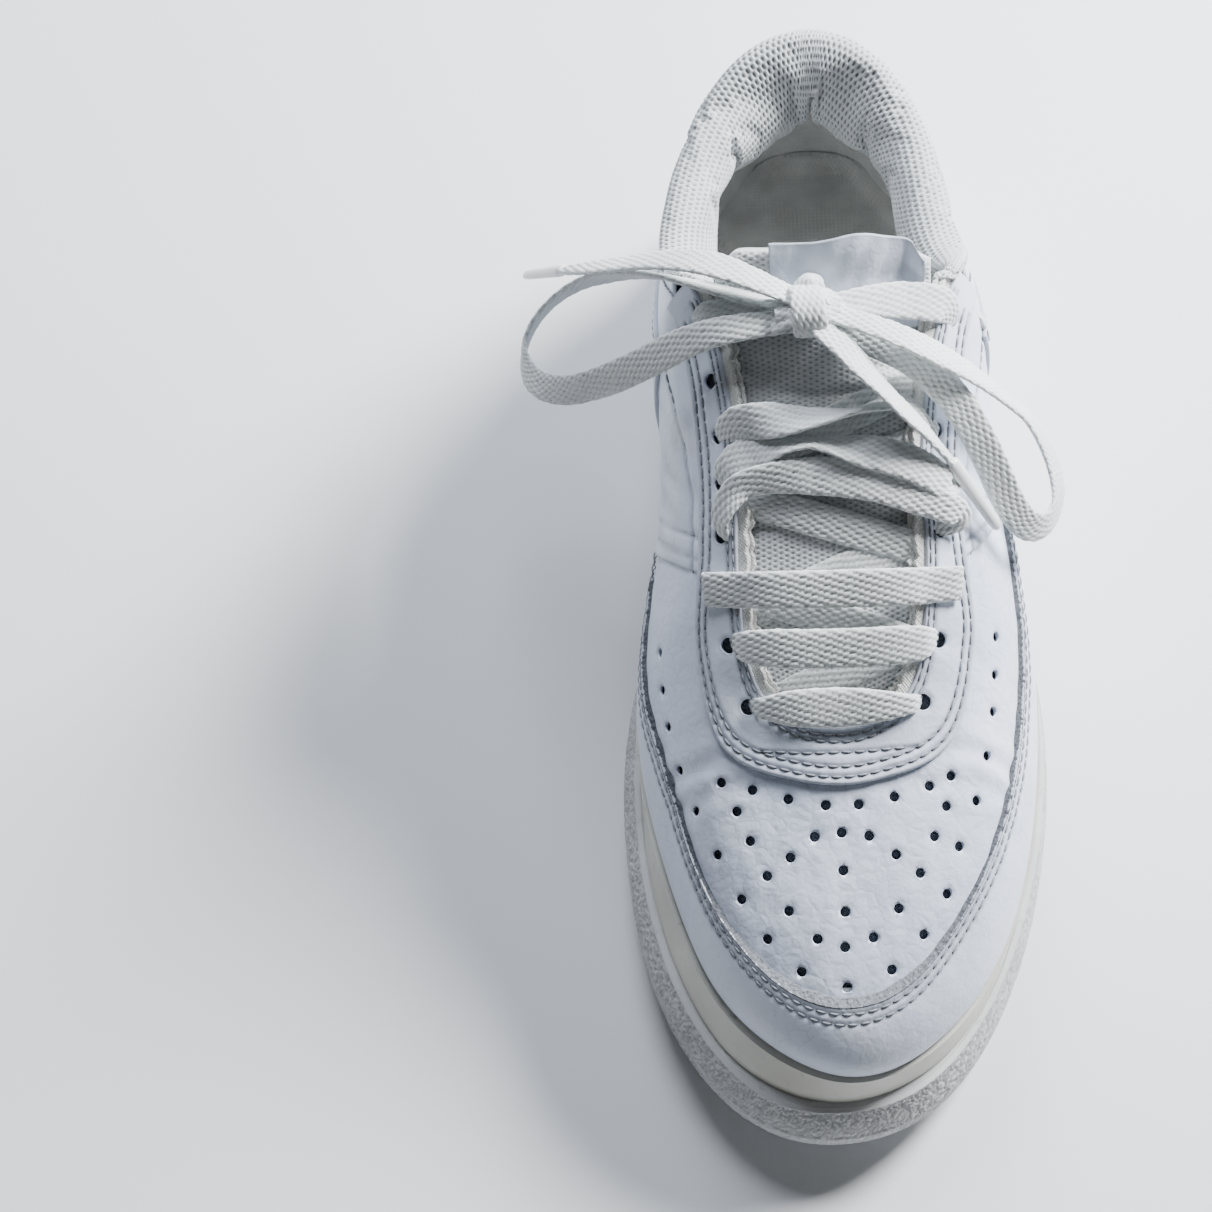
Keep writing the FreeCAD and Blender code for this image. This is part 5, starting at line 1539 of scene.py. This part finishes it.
knotSetup = {"centre": (-5.0, 37.5, 112.3), "wrap": (5.6, 4.7), "turns": 1.08}


def makeKnot(setup):
    """The bow's knot: one band wound round the crossing as an ellipse that drifts sideways, over folds."""
    centre = np.array(setup["centre"])
    turn = np.linspace(-0.9, -0.9 + setup["turns"] * 2 * np.pi, 60)
    drift = (turn - turn[0]) / (turn[-1] - turn[0])
    radial = np.stack([0 * turn, np.cos(turn), np.sin(turn)], 1)
    path = centre + radial * (np.array([0, *setup["wrap"]]) + 0.35 * drift[:, None])
    path[:, 0] += 3.2 * (drift - 0.5)
    band = ribbon("lace_knot_band", path, radial, (7.4, 8.0, 8.4, 8.0, 7.4), thick=1.5,
                  replaced=["lace_knot"])
    folds = {
        "lace_knot_fold_left": ([(-14, 35.4, 110.8), (-10, 36.2, 113.4), (-5, 37.4, 114.6), (1, 38.4, 113.6),
                                 (4, 38.6, 112.0)],
                                [(0, 0.2, 1), (0, -0.1, 1), (0, 0.1, 1)], (6.5, 7.5, 7.0, 6.0)),
        "lace_knot_fold_right": ([(-12.5, 40.6, 111.8), (-8, 41.0, 113.2), (-4.5, 41.8, 114.6),
                                  (-1, 41.0, 113.6), (3, 37.5, 112.8)],
                                 [(0, 0.9, 0.6), (0, 0.8, 0.8), (0.2, 0.5, 0.9)], (5.5, 7.0, 6.5, 5.0)),
        "lace_knot_bight": ([(-7.5, 42.2, 113.2), (-5.6, 44.6, 114.4), (-3.6, 45.0, 114.2),
                             (-2.4, 42.6, 112.6)],
                            [(0, 0.4, 1), (0, 0.6, 0.9), (0, 0.4, 1)], (3.6, 4.4, 4.4, 3.6)),
        "lace_knot_core": ([(-13, 37.6, 111.6), (-8, 37.6, 112.2), (-3, 37.6, 112.2), (2.5, 37.4, 111.8)],
                           [(0, 0, 1), (0, 0, 1)], (6.5, 8.2, 8.2, 6.5)),
    }
    for name, (route, facing, width) in folds.items():
        ribbon(name, throughPoints(route), facing, width, thick=5.5 if name.endswith("core") else 1.6)
    return band


makeKnot(knotSetup)
print("laces done")
